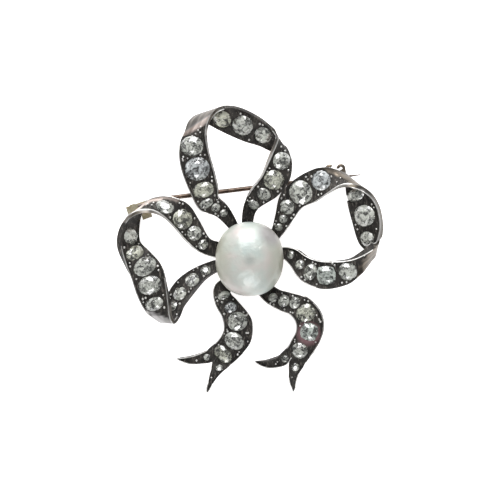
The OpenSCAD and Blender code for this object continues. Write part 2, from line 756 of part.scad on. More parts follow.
module bow_frame() {
    color("dimgray") {
        difference() {
            union() {
                loop(TOP_LOOP);
                loop(RIGHT_LOOP);
                loop(LEFT_LOOP);
                ribbon(LEFT_TAIL, 0, len(LEFT_TAIL) - 1);
                ribbon(LEFT_TAIL_UPPER_POINT, 0, len(LEFT_TAIL_UPPER_POINT) - 1);
                ribbon(LEFT_TAIL_LOWER_POINT, 0, len(LEFT_TAIL_LOWER_POINT) - 1);
                ribbon(RIGHT_TAIL, 0, len(RIGHT_TAIL) - 1);
                ribbon(RIGHT_TAIL_LEFT_POINT, 0, len(RIGHT_TAIL_LEFT_POINT) - 1);
                ribbon(RIGHT_TAIL_LOWER_POINT, 0, len(RIGHT_TAIL_LOWER_POINT) - 1);
                cylinder(h = boss_h, d = boss_d, $fn = round_fn);
            }
            pearl_form(joint_gap);
            seats(TOP_LOOP, concat(TOP_STONES, TOP_SMALL_STONES));
            seats(RIGHT_LOOP, concat(RIGHT_STONES, RIGHT_SMALL_STONES));
            seats(LEFT_LOOP, concat(LEFT_STONES, LEFT_SMALL_STONES));
            seats(LEFT_TAIL, concat(LEFT_TAIL_STONES, LEFT_TAIL_SMALL_STONES));
            seats(RIGHT_TAIL, concat(RIGHT_TAIL_STONES, RIGHT_TAIL_SMALL_STONES));
            seats(LEFT_TAIL_UPPER_POINT, LEFT_TAIL_UPPER_POINT_STONES);
            seats(LEFT_TAIL_LOWER_POINT, LEFT_TAIL_LOWER_POINT_STONES);
            seats(RIGHT_TAIL_LEFT_POINT, RIGHT_TAIL_LEFT_POINT_STONES);
            seats(RIGHT_TAIL_LOWER_POINT, RIGHT_TAIL_LOWER_POINT_STONES);
        }
        cylinder(h = boss_h + peg_h, d = peg_d, $fn = round_fn);
        pads();
    }
}

bow_frame();
pearl();
for (i = [1 : len(TOP_STONES)])
    placed_stone(TOP_LOOP, TOP_STONES[i - 1]);
for (i = [1 : len(RIGHT_STONES)])
    placed_stone(RIGHT_LOOP, RIGHT_STONES[i - 1]);
for (i = [1 : len(LEFT_STONES)])
    placed_stone(LEFT_LOOP, LEFT_STONES[i - 1]);
for (i = [1 : len(LEFT_TAIL_STONES)])
    placed_stone(LEFT_TAIL, LEFT_TAIL_STONES[i - 1]);
for (i = [1 : len(RIGHT_TAIL_STONES)])
    placed_stone(RIGHT_TAIL, RIGHT_TAIL_STONES[i - 1]);
stone_group(TOP_LOOP, TOP_SMALL_STONES);  // top_small_stones
stone_group(RIGHT_LOOP, RIGHT_SMALL_STONES);  // right_small_stones
stone_group(LEFT_LOOP, LEFT_SMALL_STONES);  // left_small_stones
left_tail_small_stones();
right_tail_small_stones();
hinge_bracket();
hinge_rivet();
pin_stem();
catch();
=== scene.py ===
import math

import bmesh
import bpy
from mathutils import Matrix, Vector


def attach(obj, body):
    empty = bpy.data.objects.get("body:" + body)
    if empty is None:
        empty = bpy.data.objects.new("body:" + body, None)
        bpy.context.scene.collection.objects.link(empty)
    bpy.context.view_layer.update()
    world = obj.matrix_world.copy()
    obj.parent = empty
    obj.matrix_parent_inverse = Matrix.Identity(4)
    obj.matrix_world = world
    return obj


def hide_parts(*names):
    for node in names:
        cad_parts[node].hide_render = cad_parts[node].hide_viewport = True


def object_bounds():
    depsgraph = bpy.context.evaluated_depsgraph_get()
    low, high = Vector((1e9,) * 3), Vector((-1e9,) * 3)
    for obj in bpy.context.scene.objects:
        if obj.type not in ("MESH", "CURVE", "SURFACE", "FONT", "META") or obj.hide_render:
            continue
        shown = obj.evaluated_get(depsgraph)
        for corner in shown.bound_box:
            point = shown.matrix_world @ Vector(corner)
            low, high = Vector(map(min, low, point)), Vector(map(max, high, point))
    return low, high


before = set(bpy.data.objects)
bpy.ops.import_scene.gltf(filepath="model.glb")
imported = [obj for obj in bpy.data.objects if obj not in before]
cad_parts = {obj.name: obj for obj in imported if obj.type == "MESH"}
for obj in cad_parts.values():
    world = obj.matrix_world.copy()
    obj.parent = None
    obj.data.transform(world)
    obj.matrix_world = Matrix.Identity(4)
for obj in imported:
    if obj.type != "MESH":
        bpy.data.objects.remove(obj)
cadBox = [list(corner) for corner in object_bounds()]
print("Frame loaded:", len(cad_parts), "nodes")

mm = 0.001
bow = {
    "width": 37,
    "height": 40,
    "depth": 6,
    "ribbonWidth": 4.5,
    "ribbonThickness": 1.2,
}
# The bow is drawn on squares, counted from the middle of the pearl
squares = {"width": 264, "height": 286, "ribbonWidth": 32}
squareX, squareY, squareR = (bow[size] / count for size, count in squares.items())

# Rows of each ribbon: front edge x and y, back edge x and y, in squares; heights of the front and
# back edge, in hundredths of the depth; thickness, in hundredths of the ribbon's thickness.
ribbons = {
    "topLoop": [
        (-5, 13, -11, 10, 30, 30, 90),
        (-7, 23, -14, 19, 34, 34, 90),
        (-12, 36, -20.5, 30.5, 45, 45, 100),
        (-21.5, 53, -34, 43.5, 57, 57, 100),
        (-30.5, 61.5, -50, 50.5, 68, 64, 100),
        (-31.5, 72, -59, 67.5, 76, 70, 100),
        (-35.5, 89, -67, 87.5, 81, 75, 100),
        (-40.5, 107, -70, 104, 83, 77, 100),
        (-43, 123, -68.5, 117, 88, 73, 80),
        (-41, 135.5, -64.5, 126.5, 93, 68, 45),
        (-35, 146.5, -60.3, 137, 96, 61, 45),
        (-26, 151.5, -51.3, 143.6, 96, 53, 45),
        (-16, 152, -42.3, 137, 95, 50, 50),
        (-4, 148.5, -26.3, 128.2, 93, 53, 55),
        (10, 141, -6.4, 119.4, 92, 54, 55),
        (20, 133, 10.3, 114.5, 93, 48, 50),
        (25.3, 127.5, 23.3, 109.3, 95, 42, 50),
        (27, 122, 34, 112.6, 96, 45, 45),
        (25.5, 115, 37.6, 109.3, 94, 55, 45),
        (22.2, 107.5, 40, 102.8, 91, 64, 70),
        (18.3, 98, 41.6, 96, 88, 70, 100),
        (11.8, 83.3, 39.6, 79.5, 83, 73, 100),
        (2.3, 70.8, 28, 64, 76, 70, 100),
        (-4.8, 56.8, 9, 51.2, 63, 63, 100),
        (-7.8, 38, 3.6, 37.8, 46, 46, 100),
        (-6, 22, 2, 21.5, 34, 34, 90),
        (-5, 12, 2, 12, 30, 30, 90),
    ],
    "rightLoop": [
        (8, 5, 3, 10, 30, 30, 90),
        (16, 10, 10, 16, 34, 34, 90),
        (30, 20.5, 21.8, 29, 45, 45, 100),
        (42.5, 37.5, 26, 44.5, 58, 58, 100),
        (53, 51.3, 31.5, 65.5, 72, 68, 100),
        (65.5, 56.8, 46, 80, 81, 75, 100),
        (77.3, 64.8, 63, 89.2, 85, 78, 100),
        (88.5, 71.5, 75, 91, 91, 73, 80),
        (98.5, 73.5, 87, 88, 96, 65, 55),
        (109.5, 71.5, 97.5, 82.5, 96, 52, 55),
        (120.6, 64.5, 98, 72, 95, 48, 70),
        (128.4, 52.4, 99.5, 56, 93, 54, 80),
        (131.8, 36, 104, 38, 92, 55, 80),
        (130.5, 22, 111.5, 16.5, 94, 46, 75),
        (126, 16, 123.5, 6, 94, 41, 80),
        (120.5, 11.5, 119.5, -1, 93, 44, 80),
        (113.5, 6.5, 115, -8, 93, 58, 75),
        (101.5, 0.3, 110, -15.3, 88, 72, 85),
        (86.5, -2, 97.5, -25.2, 83, 76, 100),
        (70, -1.6, 74, -29.8, 78, 74, 100),
        (58, 2.5, 53.3, -22, 71, 68, 100),
        (48, 9.5, 42, -7, 60, 57, 100),
        (34, 12, 33.5, 0.5, 46, 45, 100),
        (20, 7, 19, -3, 35, 34, 90),
        (10, 5, 9, -3, 30, 30, 90),
    ],
    "leftLoop": [
        (-8, 2, -7, 8, 30, 30, 90),
        (-18, 1, -17, 11, 34, 34, 90),
        (-32.5, 1, -31.5, 17, 45, 45, 100),
        (-49.5, 6.5, -41.5, 22, 58, 57, 100),
        (-63, 17.5, -51, 39, 71, 68, 100),
        (-75, 31.5, -61, 54, 80, 73, 100),
        (-86.5, 42.5, -74.5, 60.5, 87, 75, 90),
        (-98.5, 47.5, -89.5, 61, 93, 67, 60),
        (-111.5, 46.5, -102, 56.5, 96, 55, 45),
        (-122, 40, -108, 49.5, 96, 46, 45),
        (-129, 27.5, -112, 33, 96, 42, 60),
        (-130, 12, -111, 16.5, 93, 50, 80),
        (-124, -5.5, -99, 5.5, 87, 67, 90),
        (-117.5, -20, -87.3, -7.5, 81, 81, 100),
        (-111.5, -36, -82, -30, 75, 88, 100),
        (-104, -49.5, -79.5, -45, 67, 93, 90),
        (-96.5, -57.3, -78.3, -56.5, 58, 93, 50),
        (-87.5, -62.3, -75, -62.8, 50, 88, 45),
        (-82, -53.5, -70.5, -57.5, 45, 80, 45),
        (-81.5, -38, -66, -46.5, 43, 70, 70),
        (-73, -23.5, -55, -32, 45, 62, 100),
        (-58, -11.5, -43.5, -19.5, 47, 55, 100),
        (-35, -1.5, -31.5, -12.5, 43, 47, 100),
        (-19, 1, -16, -8, 34, 35, 90),
        (-9, 3, -7, -4, 30, 30, 90),
    ],
    "leftTail": [
        (-2, -10, -8, -7, 30, 30, 90),
        (-6, -16, -14, -12, 34, 34, 90),
        (-14, -27, -25, -18, 43, 43, 100),
        (-19.5, -34.5, -36, -29, 55, 55, 100),
        (-11.8, -42.3, -34.5, -45, 66, 64, 100),
        (0.5, -57, -27, -59, 74, 70, 100),
        (3, -69, -25, -69, 76, 70, 100),
        (1.2, -82.5, -27.5, -76, 74, 68, 100),
        (-6.2, -93.6, -34, -84, 69, 63, 100),
        (-16.2, -103.6, -41, -90, 60, 56, 100),
    ],
    "leftTailUpperPoint": [
        (-20, -89, -34, -84, 67, 63, 100),
        (-29, -97, -41, -90, 59, 56, 100),
        (-37.5, -103, -44, -92, 54, 54, 100),
        (-48, -104.5, -54, -96, 46, 46, 90),
        (-58, -105, -62, -98, 38, 38, 80),
        (-66, -103, -68.5, -99, 32, 32, 70),
        (-72, -101, -72, -99.5, 28, 28, 50),
    ],
    "leftTailLowerPoint": [
        (-6.2, -93.6, -20, -89, 69, 67, 100),
        (-16.2, -103.6, -31, -97, 60, 58, 100),
        (-20, -106, -37, -103.5, 56, 56, 100),
        (-27, -112, -38, -109.5, 48, 48, 90),
        (-32, -118, -39.5, -115, 40, 40, 80),
        (-36, -124, -41, -122, 33, 33, 70),
        (-39, -130, -43, -128.5, 28, 28, 60),
        (-41.5, -134, -43, -133, 25, 25, 50),
    ],
    "rightTail": [
        (6, -8, 1, -11, 30, 30, 90),
        (12, -13, 3, -19, 34, 34, 90),
        (19.5, -23.3, 6, -31.5, 45, 45, 100),
        (30, -31, 17, -44, 58, 58, 100),
        (41.5, -33.5, 31, -52, 67, 65, 100),
        (57, -38, 41, -56, 72, 68, 100),
        (70, -50.5, 46.5, -63, 75, 69, 100),
        (74.5, -65, 47, -72, 75, 69, 100),
        (72, -79, 43, -79.5, 73, 67, 100),
        (65.3, -91, 37.8, -88.5, 68, 63, 100),
        (57, -102.5, 30, -97, 60, 57, 100),
    ],
    "rightTailLeftPoint": [
        (52, -91, 37.8, -88.5, 66, 63, 100),
        (43, -98, 32, -94, 60, 58, 100),
        (38, -104.5, 28, -98, 54, 54, 100),
        (29, -107.5, 21, -100.5, 46, 46, 90),
        (18, -108.5, 14, -102, 37, 37, 75),
        (6.5, -104, 6.5, -102.5, 28, 28, 50),
    ],
    "rightTailLowerPoint": [
        (65, -92, 51, -91, 68, 66, 100),
        (57, -102, 42, -99, 60, 58, 100),
        (54, -107, 39.5, -104.5, 55, 55, 100),
        (50, -113, 39.5, -112, 48, 48, 90),
        (48, -119, 39.5, -117.5, 40, 40, 80),
        (47, -125, 40.5, -123, 33, 33, 70),
        (46.5, -129, 42, -128, 28, 28, 60),
        (44.5, -133, 43.5, -132.5, 25, 25, 50),
    ],
}

# Cut of the stones: radii as shares of a stone's own, crown and pavilion as shares of its width
stones = {
    "table": 0.52,
    "star": 0.76,
    "half": 0.28,
    "culet": 0.07,
    "window": 0.5,  # hole in the ribbon's back
    "crown": 0.19,
    "pavilion": 0.4,
    "girdle": 0.08,  # mm
    "sink": 0.15,  # mm
}
# Stones on each ribbon: middle x and y, width along and across the ribbon, in squares; then the
# tint, how far the cut is turned in degrees, and how square the outline is (2 is round).
stoneRows = {
    "topLoop": [
        (-43.4, 56.4, 9, 14.5, "grey", 10, 2.2),
        (-46, 69.8, 15.5, 21.5, "yellow", 20, 2.3),
        (-51.8, 89.9, 23.5, 25, "blue", 5, 2.1),
        (-57.2, 113.4, 20, 23, "clear", 30, 2.1),
        (-26, 139.3, 18, 20, "yellow", 12, 2.2),
        (-6.8, 134.6, 20.5, 22.5, "clear", 25, 2.2),
        (13.4, 124.8, 17.5, 21, "clear", 40, 2.1),
        (31.3, 98.6, 17.5, 18.5, "clear", 15, 2.2),
        (24, 79.8, 19.5, 20.5, "yellow", 8, 2.3),
        (14, 64.6, 12, 15, "grey", 33, 2.1),
        (4.4, 55.5, 9, 12.5, "grey", 21, 2.1),
        (-33.6, 51.8, 8.5, 9.5, "grey", 11, 2.0),
        (-25.6, 46, 7.5, 8, "grey", 34, 2.0),
    ],
    "rightLoop": [
        (38.4, 53.2, 15, 15, "grey", 12, 2.1),
        (52.4, 67.4, 22.5, 24.5, "clear", 22, 2.2),
        (72, 78.6, 19, 20, "blue", 35, 2.2),
        (106.8, 62, 13, 22.5, "grey", 5, 2.1),
        (116, 43, 21.5, 23.5, "clear", 17, 2.3),
        (118.8, 20.8, 15.5, 18.5, "grey", 28, 2.1),
        (98.6, -11.4, 18, 19, "clear", 38, 2.2),
        (78, -15.6, 18.5, 19, "green", 0, 4.0),
        (61.2, -12.9, 12.5, 17, "clear", 19, 2.2),
        (34.2, 41.4, 8.5, 8.5, "grey", 11, 2.0),
        (29.6, 32.7, 8, 8, "grey", 34, 2.0),
        (51.5, -5.7, 9, 10, "grey", 12, 2.0),
        (43.3, 3.8, 7.5, 8.5, "grey", 35, 2.0),
    ],
    "leftLoop": [
        (-55.4, 26, 15, 15, "clear", 7, 2.1),
        (-66.9, 39.7, 20, 20, "yellow", 26, 2.2),
        (-84.3, 51.3, 18.5, 13, "clear", 14, 2.1),
        (-120, 22.5, 17, 21, "grey", 31, 2.1),
        (-115.8, 6, 13.5, 20.5, "yellow", 3, 2.3),
        (-104.3, -8, 17.5, 24, "clear", 24, 2.2),
        (-98.9, -27, 18.5, 24, "clear", 36, 2.1),
        (-94, -45, 13, 20, "grey", 9, 2.2),
        (-76.5, -48.2, 10, 11, "grey", 18, 2.1),
        (-69.2, -35.6, 14.5, 14, "clear", 27, 2.1),
        (-56.9, -22, 14.5, 13.5, "grey", 41, 2.1),
        (-46.9, 14.7, 10, 11, "grey", 11, 2.0),
        (-43.6, -11.9, 10, 10, "grey", 34, 2.0),
    ],
    "leftTail": [
        (-18.7, -47.3, 11, 12.5, "blue", 6, 2.1),
        (-11.8, -62.8, 18.5, 20, "clear", 29, 2.2),
        (-14.8, -81, 16.5, 20.5, "clear", 16, 2.2),
        (-25.7, -94.3, 14.5, 20.5, "yellow", 34, 2.3),
        (-25.8, -37.6, 8.5, 13, "grey", 11, 2.0),
    ],
    "leftTailUpperPoint": [
        (-42, -98, 7, 7, "grey", 11, 2.0),
    ],
    "leftTailLowerPoint": [
        (-30, -108, 8, 8, "grey", 11, 2.0),
    ],
    "rightTail": [
        (34.2, -41.7, 11, 12.5, "clear", 11, 2.1),
        (45.6, -43.6, 10.5, 12.5, "clear", 23, 2.1),
        (56.8, -54, 17.5, 19.5, "yellow", 2, 2.8),
        (60, -73, 17.5, 18, "green", 45, 3.6),
        (50.3, -91, 15.5, 16.5, "grey", 20, 2.1),
        (24, -39.5, 9, 10, "grey", 11, 2.0),
    ],
    "rightTailLeftPoint": [
        (36, -99, 8, 8, "grey", 11, 2.0),
    ],
    "rightTailLowerPoint": [
        (46, -107.5, 9, 8, "grey", 11, 2.0),
    ],
}


# Materials. First the helpers, which feed a number, a colour or another node's output to a socket.
def feed(tree, socket, value):
    if isinstance(value, (int, float)):
        socket.default_value = value
    elif isinstance(value, tuple):
        socket.default_value = (*value, 1)[:len(socket.default_value)]
    else:
        tree.links.new(value, socket)


def feedAll(tree, node, values):
    for label, value in values.items():
        feed(tree, node.inputs[label], value)


def addNode(tree, kind, **values):
    # a value is for a setting of the node or for an input, with _ for each space in its name
    node = tree.nodes.new(kind)
    for key, value in values.items():
        if hasattr(node, key):
            setattr(node, key, value)
        else:
            feed(tree, node.inputs[key.replace("_", " ")], value)
    return node


def onObject(tree, kind, socket="Vector", **values):
    # a node that reads the object's own coordinates
    node = addNode(tree, kind, **values)
    tree.links.new(tree.nodes.new("ShaderNodeTexCoord").outputs["Object"], node.inputs[socket])
    return node


def mathNode(tree, operation, a, b=0, clamp=False):
    node = addNode(tree, "ShaderNodeMath", operation=operation, use_clamp=clamp)
    feed(tree, node.inputs[0], a)
    feed(tree, node.inputs[1], b)
    return node.outputs[0]


def mixNode(tree, kind, share, a, b):
    node = addNode(tree, "ShaderNodeMix", data_type=kind)
    sort = "RGBA" if kind == "RGBA" else "VALUE"
    factor = next(s for s in node.inputs if s.type == "VALUE")
    ends = [s for s in node.inputs if s.type == sort and s != factor]
    for socket, value in zip((factor, *ends[:2]), (share, a, b)):
        feed(tree, socket, value)
    return next(s for s in node.outputs if s.type == sort)


def mixColour(tree, share, a, b):
    return mixNode(tree, "RGBA", share, a, b)


def mixValue(tree, share, a, b):
    return mixNode(tree, "FLOAT", share, a, b)


def ranged(tree, value, low, high):
    # 0 at low, 1 at high, and held beyond them
    node = addNode(tree, "ShaderNodeMapRange", Value=value, From_Min=low, From_Max=high)
    return node.outputs["Result"]


def splitNode(tree, vector):
    parts = addNode(tree, "ShaderNodeSeparateXYZ", Vector=vector)
    return parts.outputs["X"], parts.outputs["Y"]


def uvMap(tree, label):
    return addNode(tree, "ShaderNodeUVMap", uv_map=label).outputs["UV"]


def nearTo(tree, place, reach, full):
    # 1 within full of a place and 0 beyond reach, both in m
    away = onObject(tree, "ShaderNodeVectorMath", 0, operation="DISTANCE")
    away.inputs[1].default_value = place
    return ranged(tree, away.outputs["Value"], reach, full)


def addBump(tree, shader, height, strength, distance):
    bump = addNode(tree, "ShaderNodeBump", Strength=strength, Distance=distance, Height=height)
    tree.links.new(bump.outputs["Normal"], shader.inputs["Normal"])


def newMaterial(name):
    material = bpy.data.materials.new(name)
    material.use_nodes = True
    tree = material.node_tree
    shader = next(n for n in tree.nodes if n.type == "BSDF_PRINCIPLED")
    return material, tree, shader


def newGroup(name, kind, inputs, outputs):
    # inputs and outputs as name, kind of socket and, for a number, its value
    group = bpy.data.node_groups.new(name, kind + "NodeTree")
    for way, rows in (("INPUT", inputs), ("OUTPUT", outputs)):
        for label, sort, *value in rows:
            socket = group.interface.new_socket(label, in_out=way, socket_type="NodeSocket" + sort)
            if value:
                socket.default_value = value[0]
    return group, group.nodes.new("NodeGroupInput").outputs


# This group gives any metal its tarnish and its fine scratches
tarnishLook = {
    "patches": {"Detail": 5.0, "Roughness": 0.62},
    "spread": (0.72, 1.08),  # less the cover: where the tarnish begins and is full
    "scratches": {"Detail": 3.0, "Roughness": 0.7},
    "stretch": {"Scale": (1, 0.22, 0.6), "Rotation": (0.3, 0.2, 0.6)},
}


def makeTarnishGroup():
    look = tarnishLook
    inputs = [("Patch Scale", "Float", 700), ("Scratch Scale", "Float", 5200), ("Cover", "Float", 0.5)]
    group, given = newGroup("tarnish", "Shader", inputs, [("Tarnish", "Float"), ("Scratches", "Float")])
    patches = onObject(group, "ShaderNodeTexNoise", Scale=given["Patch Scale"], **look["patches"])
    low, high = (mathNode(group, "SUBTRACT", share, given["Cover"]) for share in look["spread"])
    tarnish = ranged(group, patches.outputs["Fac"], low, high)
    place = onObject(group, "ShaderNodeMapping", **look["stretch"]).outputs["Vector"]
    scratches = addNode(
        group, "ShaderNodeTexNoise", Vector=place, Scale=given["Scratch Scale"], **look["scratches"]
    )
    addNode(group, "NodeGroupOutput", Tarnish=tarnish, Scratches=scratches.outputs["Fac"])
    return group


tarnishGroup = makeTarnishGroup()


def addTarnish(tree, patchScale, scratchScale, cover):
    node = addNode(tree, "ShaderNodeGroup", node_tree=tarnishGroup)
    feedAll(tree, node, {"Patch Scale": patchScale, "Scratch Scale": scratchScale, "Cover": cover})
    return node.outputs["Tarnish"], node.outputs["Scratches"]


ribbonFinish = {
    "dark": (0.012, 0.011, 0.01),
    "darkWorn": (0.06, 0.054, 0.048),
    "speck": (0.19, 0.17, 0.15),
    # polished metal: its colour, and its colour on a streak
    "gold": ((0.72, 0.62, 0.57), (0.26, 0.215, 0.19)),
    # painted shade: polished gold darkened, and its colour on a streak
    "paintedShadeGold": ((0.19, 0.162, 0.132), (0.075, 0.068, 0.058)),
    "grey": ((0.36, 0.35, 0.35), (0.2, 0.195, 0.19)),
    "sideSilver": (0.2, 0.195, 0.19),
    "sideGold": (0.235, 0.205, 0.175),
    # painted shade on the side walls of the darkened gold
    "paintedShadeSideGold": (0.1, 0.087, 0.07),
    "edge": (0.78, 0.76, 0.74),
    "edgeDull": (0.34, 0.33, 0.32),
    "stain": (0.22, 0.125, 0.135),
    "stainPlace": (0.0083, -0.0104, 0.0042),  # m, round one stone of the right tail
    "stainReach": (0.002, 0.0012),  # m, where it ends and where it is full
    "tarnish": (620, 5200, 0.5),  # the tarnish group's inputs
    "lineStretch": (0.14, 1.2, 1),  # per mm, along and across the ribbon
    "lines": {"Scale": 1.0, "Detail": 3.0, "Roughness": 0.5},
    "streak": (0.42, 0.6),  # from where to where in the noise
    "specks": (0.55, 0.72),  # the same
    "metallic": (0.35, 1),  # dark and polished
    "roughness": (0.5, 0.27),  # dark and polished
    "tarnishRough": 0.1,
    "bump": (0.4, 0.00004),  # strength, and height in m
    "gloss": 0.3,
}


def makeRibbonMetal():
    # UV map "finish": x is 0 on the dark face and 1 where it is polished; y is 0 on a face, 0.5 on a
    # side and 1 on an edge, and near 0 on a side painted dark as shade. UV map "tone": x is 1 for rose
    # gold, 2 for grey silver, 3 for gold darkened as painted shade. UV map "along" lays the ribbon out
    # in mm, for the lines of polishing.
    look = ribbonFinish
    material, tree, shader = newMaterial("ribbonMetal")
    bare, wall = splitNode(tree, uvMap(tree, "finish"))
    tone = splitNode(tree, uvMap(tree, "tone"))[0]
    grey = mathNode(tree, "SUBTRACT", tone, 1, clamp=True)
    paintedShadeGold = mathNode(tree, "SUBTRACT", tone, 2, clamp=True)
    side = mathNode(tree, "MULTIPLY", wall, 2, clamp=True)
    edge = mathNode(tree, "SUBTRACT", mathNode(tree, "MULTIPLY", wall, 2), 1, clamp=True)
    tarnish, scratches = addTarnish(tree, *look["tarnish"])

    place = addNode(tree, "ShaderNodeMapping", Vector=uvMap(tree, "along"), Scale=look["lineStretch"])
    lines = addNode(tree, "ShaderNodeTexNoise", Vector=place.outputs["Vector"], **look["lines"])
    streak = ranged(tree, lines.outputs["Fac"], *look["streak"])

    dark = mixColour(tree, tarnish, look["darkWorn"], look["dark"])
    dark = mixColour(tree, ranged(tree, scratches, *look["specks"]), dark, look["speck"])
    dark = mixColour(tree, nearTo(tree, look["stainPlace"], *look["stainReach"]), dark, look["stain"])
    polished = mixColour(tree, streak, *look["gold"])
    polished = mixColour(tree, grey, polished, mixColour(tree, streak, *look["grey"]))
    # painted shade: polished gold darkened where the tone is 3
    polished = mixColour(tree, paintedShadeGold, polished, mixColour(tree, streak, *look["paintedShadeGold"]))
    face = mixColour(tree, bare, dark, polished)
    sideColour = mixColour(tree, paintedShadeGold, look["sideGold"], look["paintedShadeSideGold"])
    sideColour = mixColour(tree, bare, look["sideSilver"], sideColour)
    edgeColour = mixColour(tree, tarnish, look["edge"], look["edgeDull"])
    colour = mixColour(tree, edge, mixColour(tree, side, face, sideColour), edgeColour)
    shining = mathNode(tree, "MAXIMUM", bare, side)
    dullness = mathNode(tree, "MULTIPLY", tarnish, look["tarnishRough"])
    feedAll(tree, shader, {
        "Base Color": colour,
        "Metallic": mixValue(tree, shining, *look["metallic"]),
        "Roughness": mathNode(tree, "ADD", mixValue(tree, shining, *look["roughness"]), dullness),
        "Specular IOR Level": look["gloss"],
    })
    addBump(tree, shader, mixValue(tree, bare, scratches, lines.outputs["Fac"]), *look["bump"])
    return material


# Plain metals: bright and dull colour, roughness where bright and where dull, the tarnish group's
# inputs, and strength and height of the bump
metals = {
    "brightSilver": (
        (0.93, 0.92, 0.9), (0.45, 0.44, 0.42), (0.3, 0.42), (900, 6500, 0.42), (0.25, 0.00002),
    ),
    "blockGold": (
        (0.95, 0.92, 0.74), (0.45, 0.4, 0.27), (0.24, 0.44), (1100, 4200, 0.5), (0.4, 0.00003),
    ),
    "hornGold": (
        (0.34, 0.28, 0.22), (0.12, 0.1, 0.08), (0.28, 0.48), (1100, 4200, 0.5), (0.4, 0.00003),
    ),
    "pinGold": (
        (0.2, 0.145, 0.115), (0.06, 0.045, 0.036), (0.18, 0.38), (1100, 4200, 0.5), (0.06, 0.00003),
    ),
}


def makeMetal(name):
    bright, dull, rough, cover, bump = metals[name]
    material, tree, shader = newMaterial(name)
    tarnish, scratches = addTarnish(tree, *cover)
    feedAll(tree, shader, {
        "Base Color": mixColour(tree, tarnish, bright, dull),
        "Metallic": 1,
        "Roughness": mixValue(tree, tarnish, *rough),
    })
    addBump(tree, shader, scratches, *bump)
    return material


stoneTints = {
    "clear": (0.9, 0.92, 0.84),
    "grey": (0.72, 0.735, 0.67),
    "yellow": (0.88, 0.89, 0.74),
    "blue": (0.78, 0.82, 0.83),
    "green": (0.9, 0.98, 0.91),
}
stoneLook = {
    "gloss": {"Transmission Weight": 0.5, "IOR": 2.42, "Roughness": 0.1},
    "patches": (1750.0, 4600.0),  # how fine the patches and the flecks are
    "flecks": 0.45,  # share of the flecks
    "spread": (0.25, 0.75),
    "deep": 0.06,  # the darkest painted reflections, as a share of the tint
    "bright": 1.4,
    "bump": (0.35, 0.00009),
}


def makeStone(tint):
    # painted reflections: light and dark patches in the colour, standing in for what the facets behind
    # throw back, with finer flecks over them
    material, tree, shader = newMaterial(tint + "Stone")
    shares = []
    for scale in stoneLook["patches"]:
        cells = onObject(tree, "ShaderNodeTexVoronoi", Scale=scale)
        shares.append(splitNode(tree, cells.outputs["Color"])[0])
    share = mixValue(tree, stoneLook["flecks"], *shares)
    colour = stoneTints[tint]
    deep = tuple(c * stoneLook["deep"] for c in colour)
    bright = tuple(c * min(stoneLook["bright"], 1 / max(colour)) for c in colour)
    spread = ranged(tree, share, *stoneLook["spread"])
    # painted reflections: the colour runs from the dark patches to the bright ones
    feedAll(tree, shader, {"Base Color": mixColour(tree, spread, deep, bright), **stoneLook["gloss"]})
    addBump(tree, shader, share, *stoneLook["bump"])
    return material


pearlLook = {
    "body": (0.47, 0.505, 0.465),
    "blueGreen": (0.39, 0.485, 0.47),
    "pink": (0.55, 0.49, 0.465),
    # painted shade: darker olive colour on the pearl's left and right sides
    "paintedSideShade": (0.36, 0.355, 0.275),
    "clouds": {"Scale": 240.0, "Detail": 4.0},
    "pinkClouds": (0.5, 0.68),
    "greenClouds": (0.5, 0.32),
    "paintedSideShadeReach": (0.0022, 0.0046),  # m from the middle, where the painted shade of the sides begins and is full
    # painted light and shade in soft spots: painted shade in the dimple at the top, a darker painted
    # reflection of the ribbon at the upper right, and lighter yellowish painted light at the left and
    # right edges; colour, middle in m, and the radii where a spot ends and where it is full
    "paintedLightAndShadeSpots": [
        ((0.35, 0.37, 0.345), (0.0, -0.0001, 0.0101), 0.0011, 0.0003),
        ((0.33, 0.315, 0.31), (0.0029, 0.0034, 0.0082), 0.0022, 0.001),
        ((0.46, 0.45, 0.36), (-0.0044, 0.0004, 0.006), 0.0016, 0.0004),
        ((0.5, 0.49, 0.4), (0.0044, 0.0008, 0.006), 0.0014, 0.0004),
    ],
    "gloss": {
        "Roughness": 0.36,
        "IOR": 1.68,
        "Specular IOR Level": 0.75,
        "Coat Weight": 0.25,
        "Coat Roughness": 0.28,
    },
    "skin": {"Scale": 260.0, "Detail": 5.0, "Roughness": 0.55},
    "bump": (0.6, 0.0006),
}


def makePearl():
    look = pearlLook
    material, tree, shader = newMaterial("pearlNacre")
    clouds = onObject(tree, "ShaderNodeTexNoise", **look["clouds"]).outputs["Fac"]
    colour = mixColour(tree, ranged(tree, clouds, *look["pinkClouds"]), look["body"], look["pink"])
    colour = mixColour(tree, ranged(tree, clouds, *look["greenClouds"]), colour, look["blueGreen"])
    across = splitNode(tree, tree.nodes.new("ShaderNodeTexCoord").outputs["Object"])[0]
    # painted shade: darker olive towards the left and right sides
    sides = ranged(tree, mathNode(tree, "ABSOLUTE", across), *look["paintedSideShadeReach"])
    colour = mixColour(tree, sides, colour, look["paintedSideShade"])
    # painted light and shade, spot by spot
    for paintedColour, place, reach, full in look["paintedLightAndShadeSpots"]:
        colour = mixColour(tree, nearTo(tree, place, reach, full), colour, paintedColour)
    feedAll(tree, shader, {"Base Color": colour, **look["gloss"]})
    skin = onObject(tree, "ShaderNodeTexNoise", **look["skin"])
    addBump(tree, shader, skin.outputs["Fac"], *look["bump"])
    return material


ribbonMetal = makeRibbonMetal()
brightSilver, blockGold, hornGold, pinGold = (makeMetal(name) for name in metals)
stoneMaterials = {tint: makeStone(tint) for tint in stoneTints}
pearlNacre = makePearl()
print("Materials made:", len(bpy.data.materials))


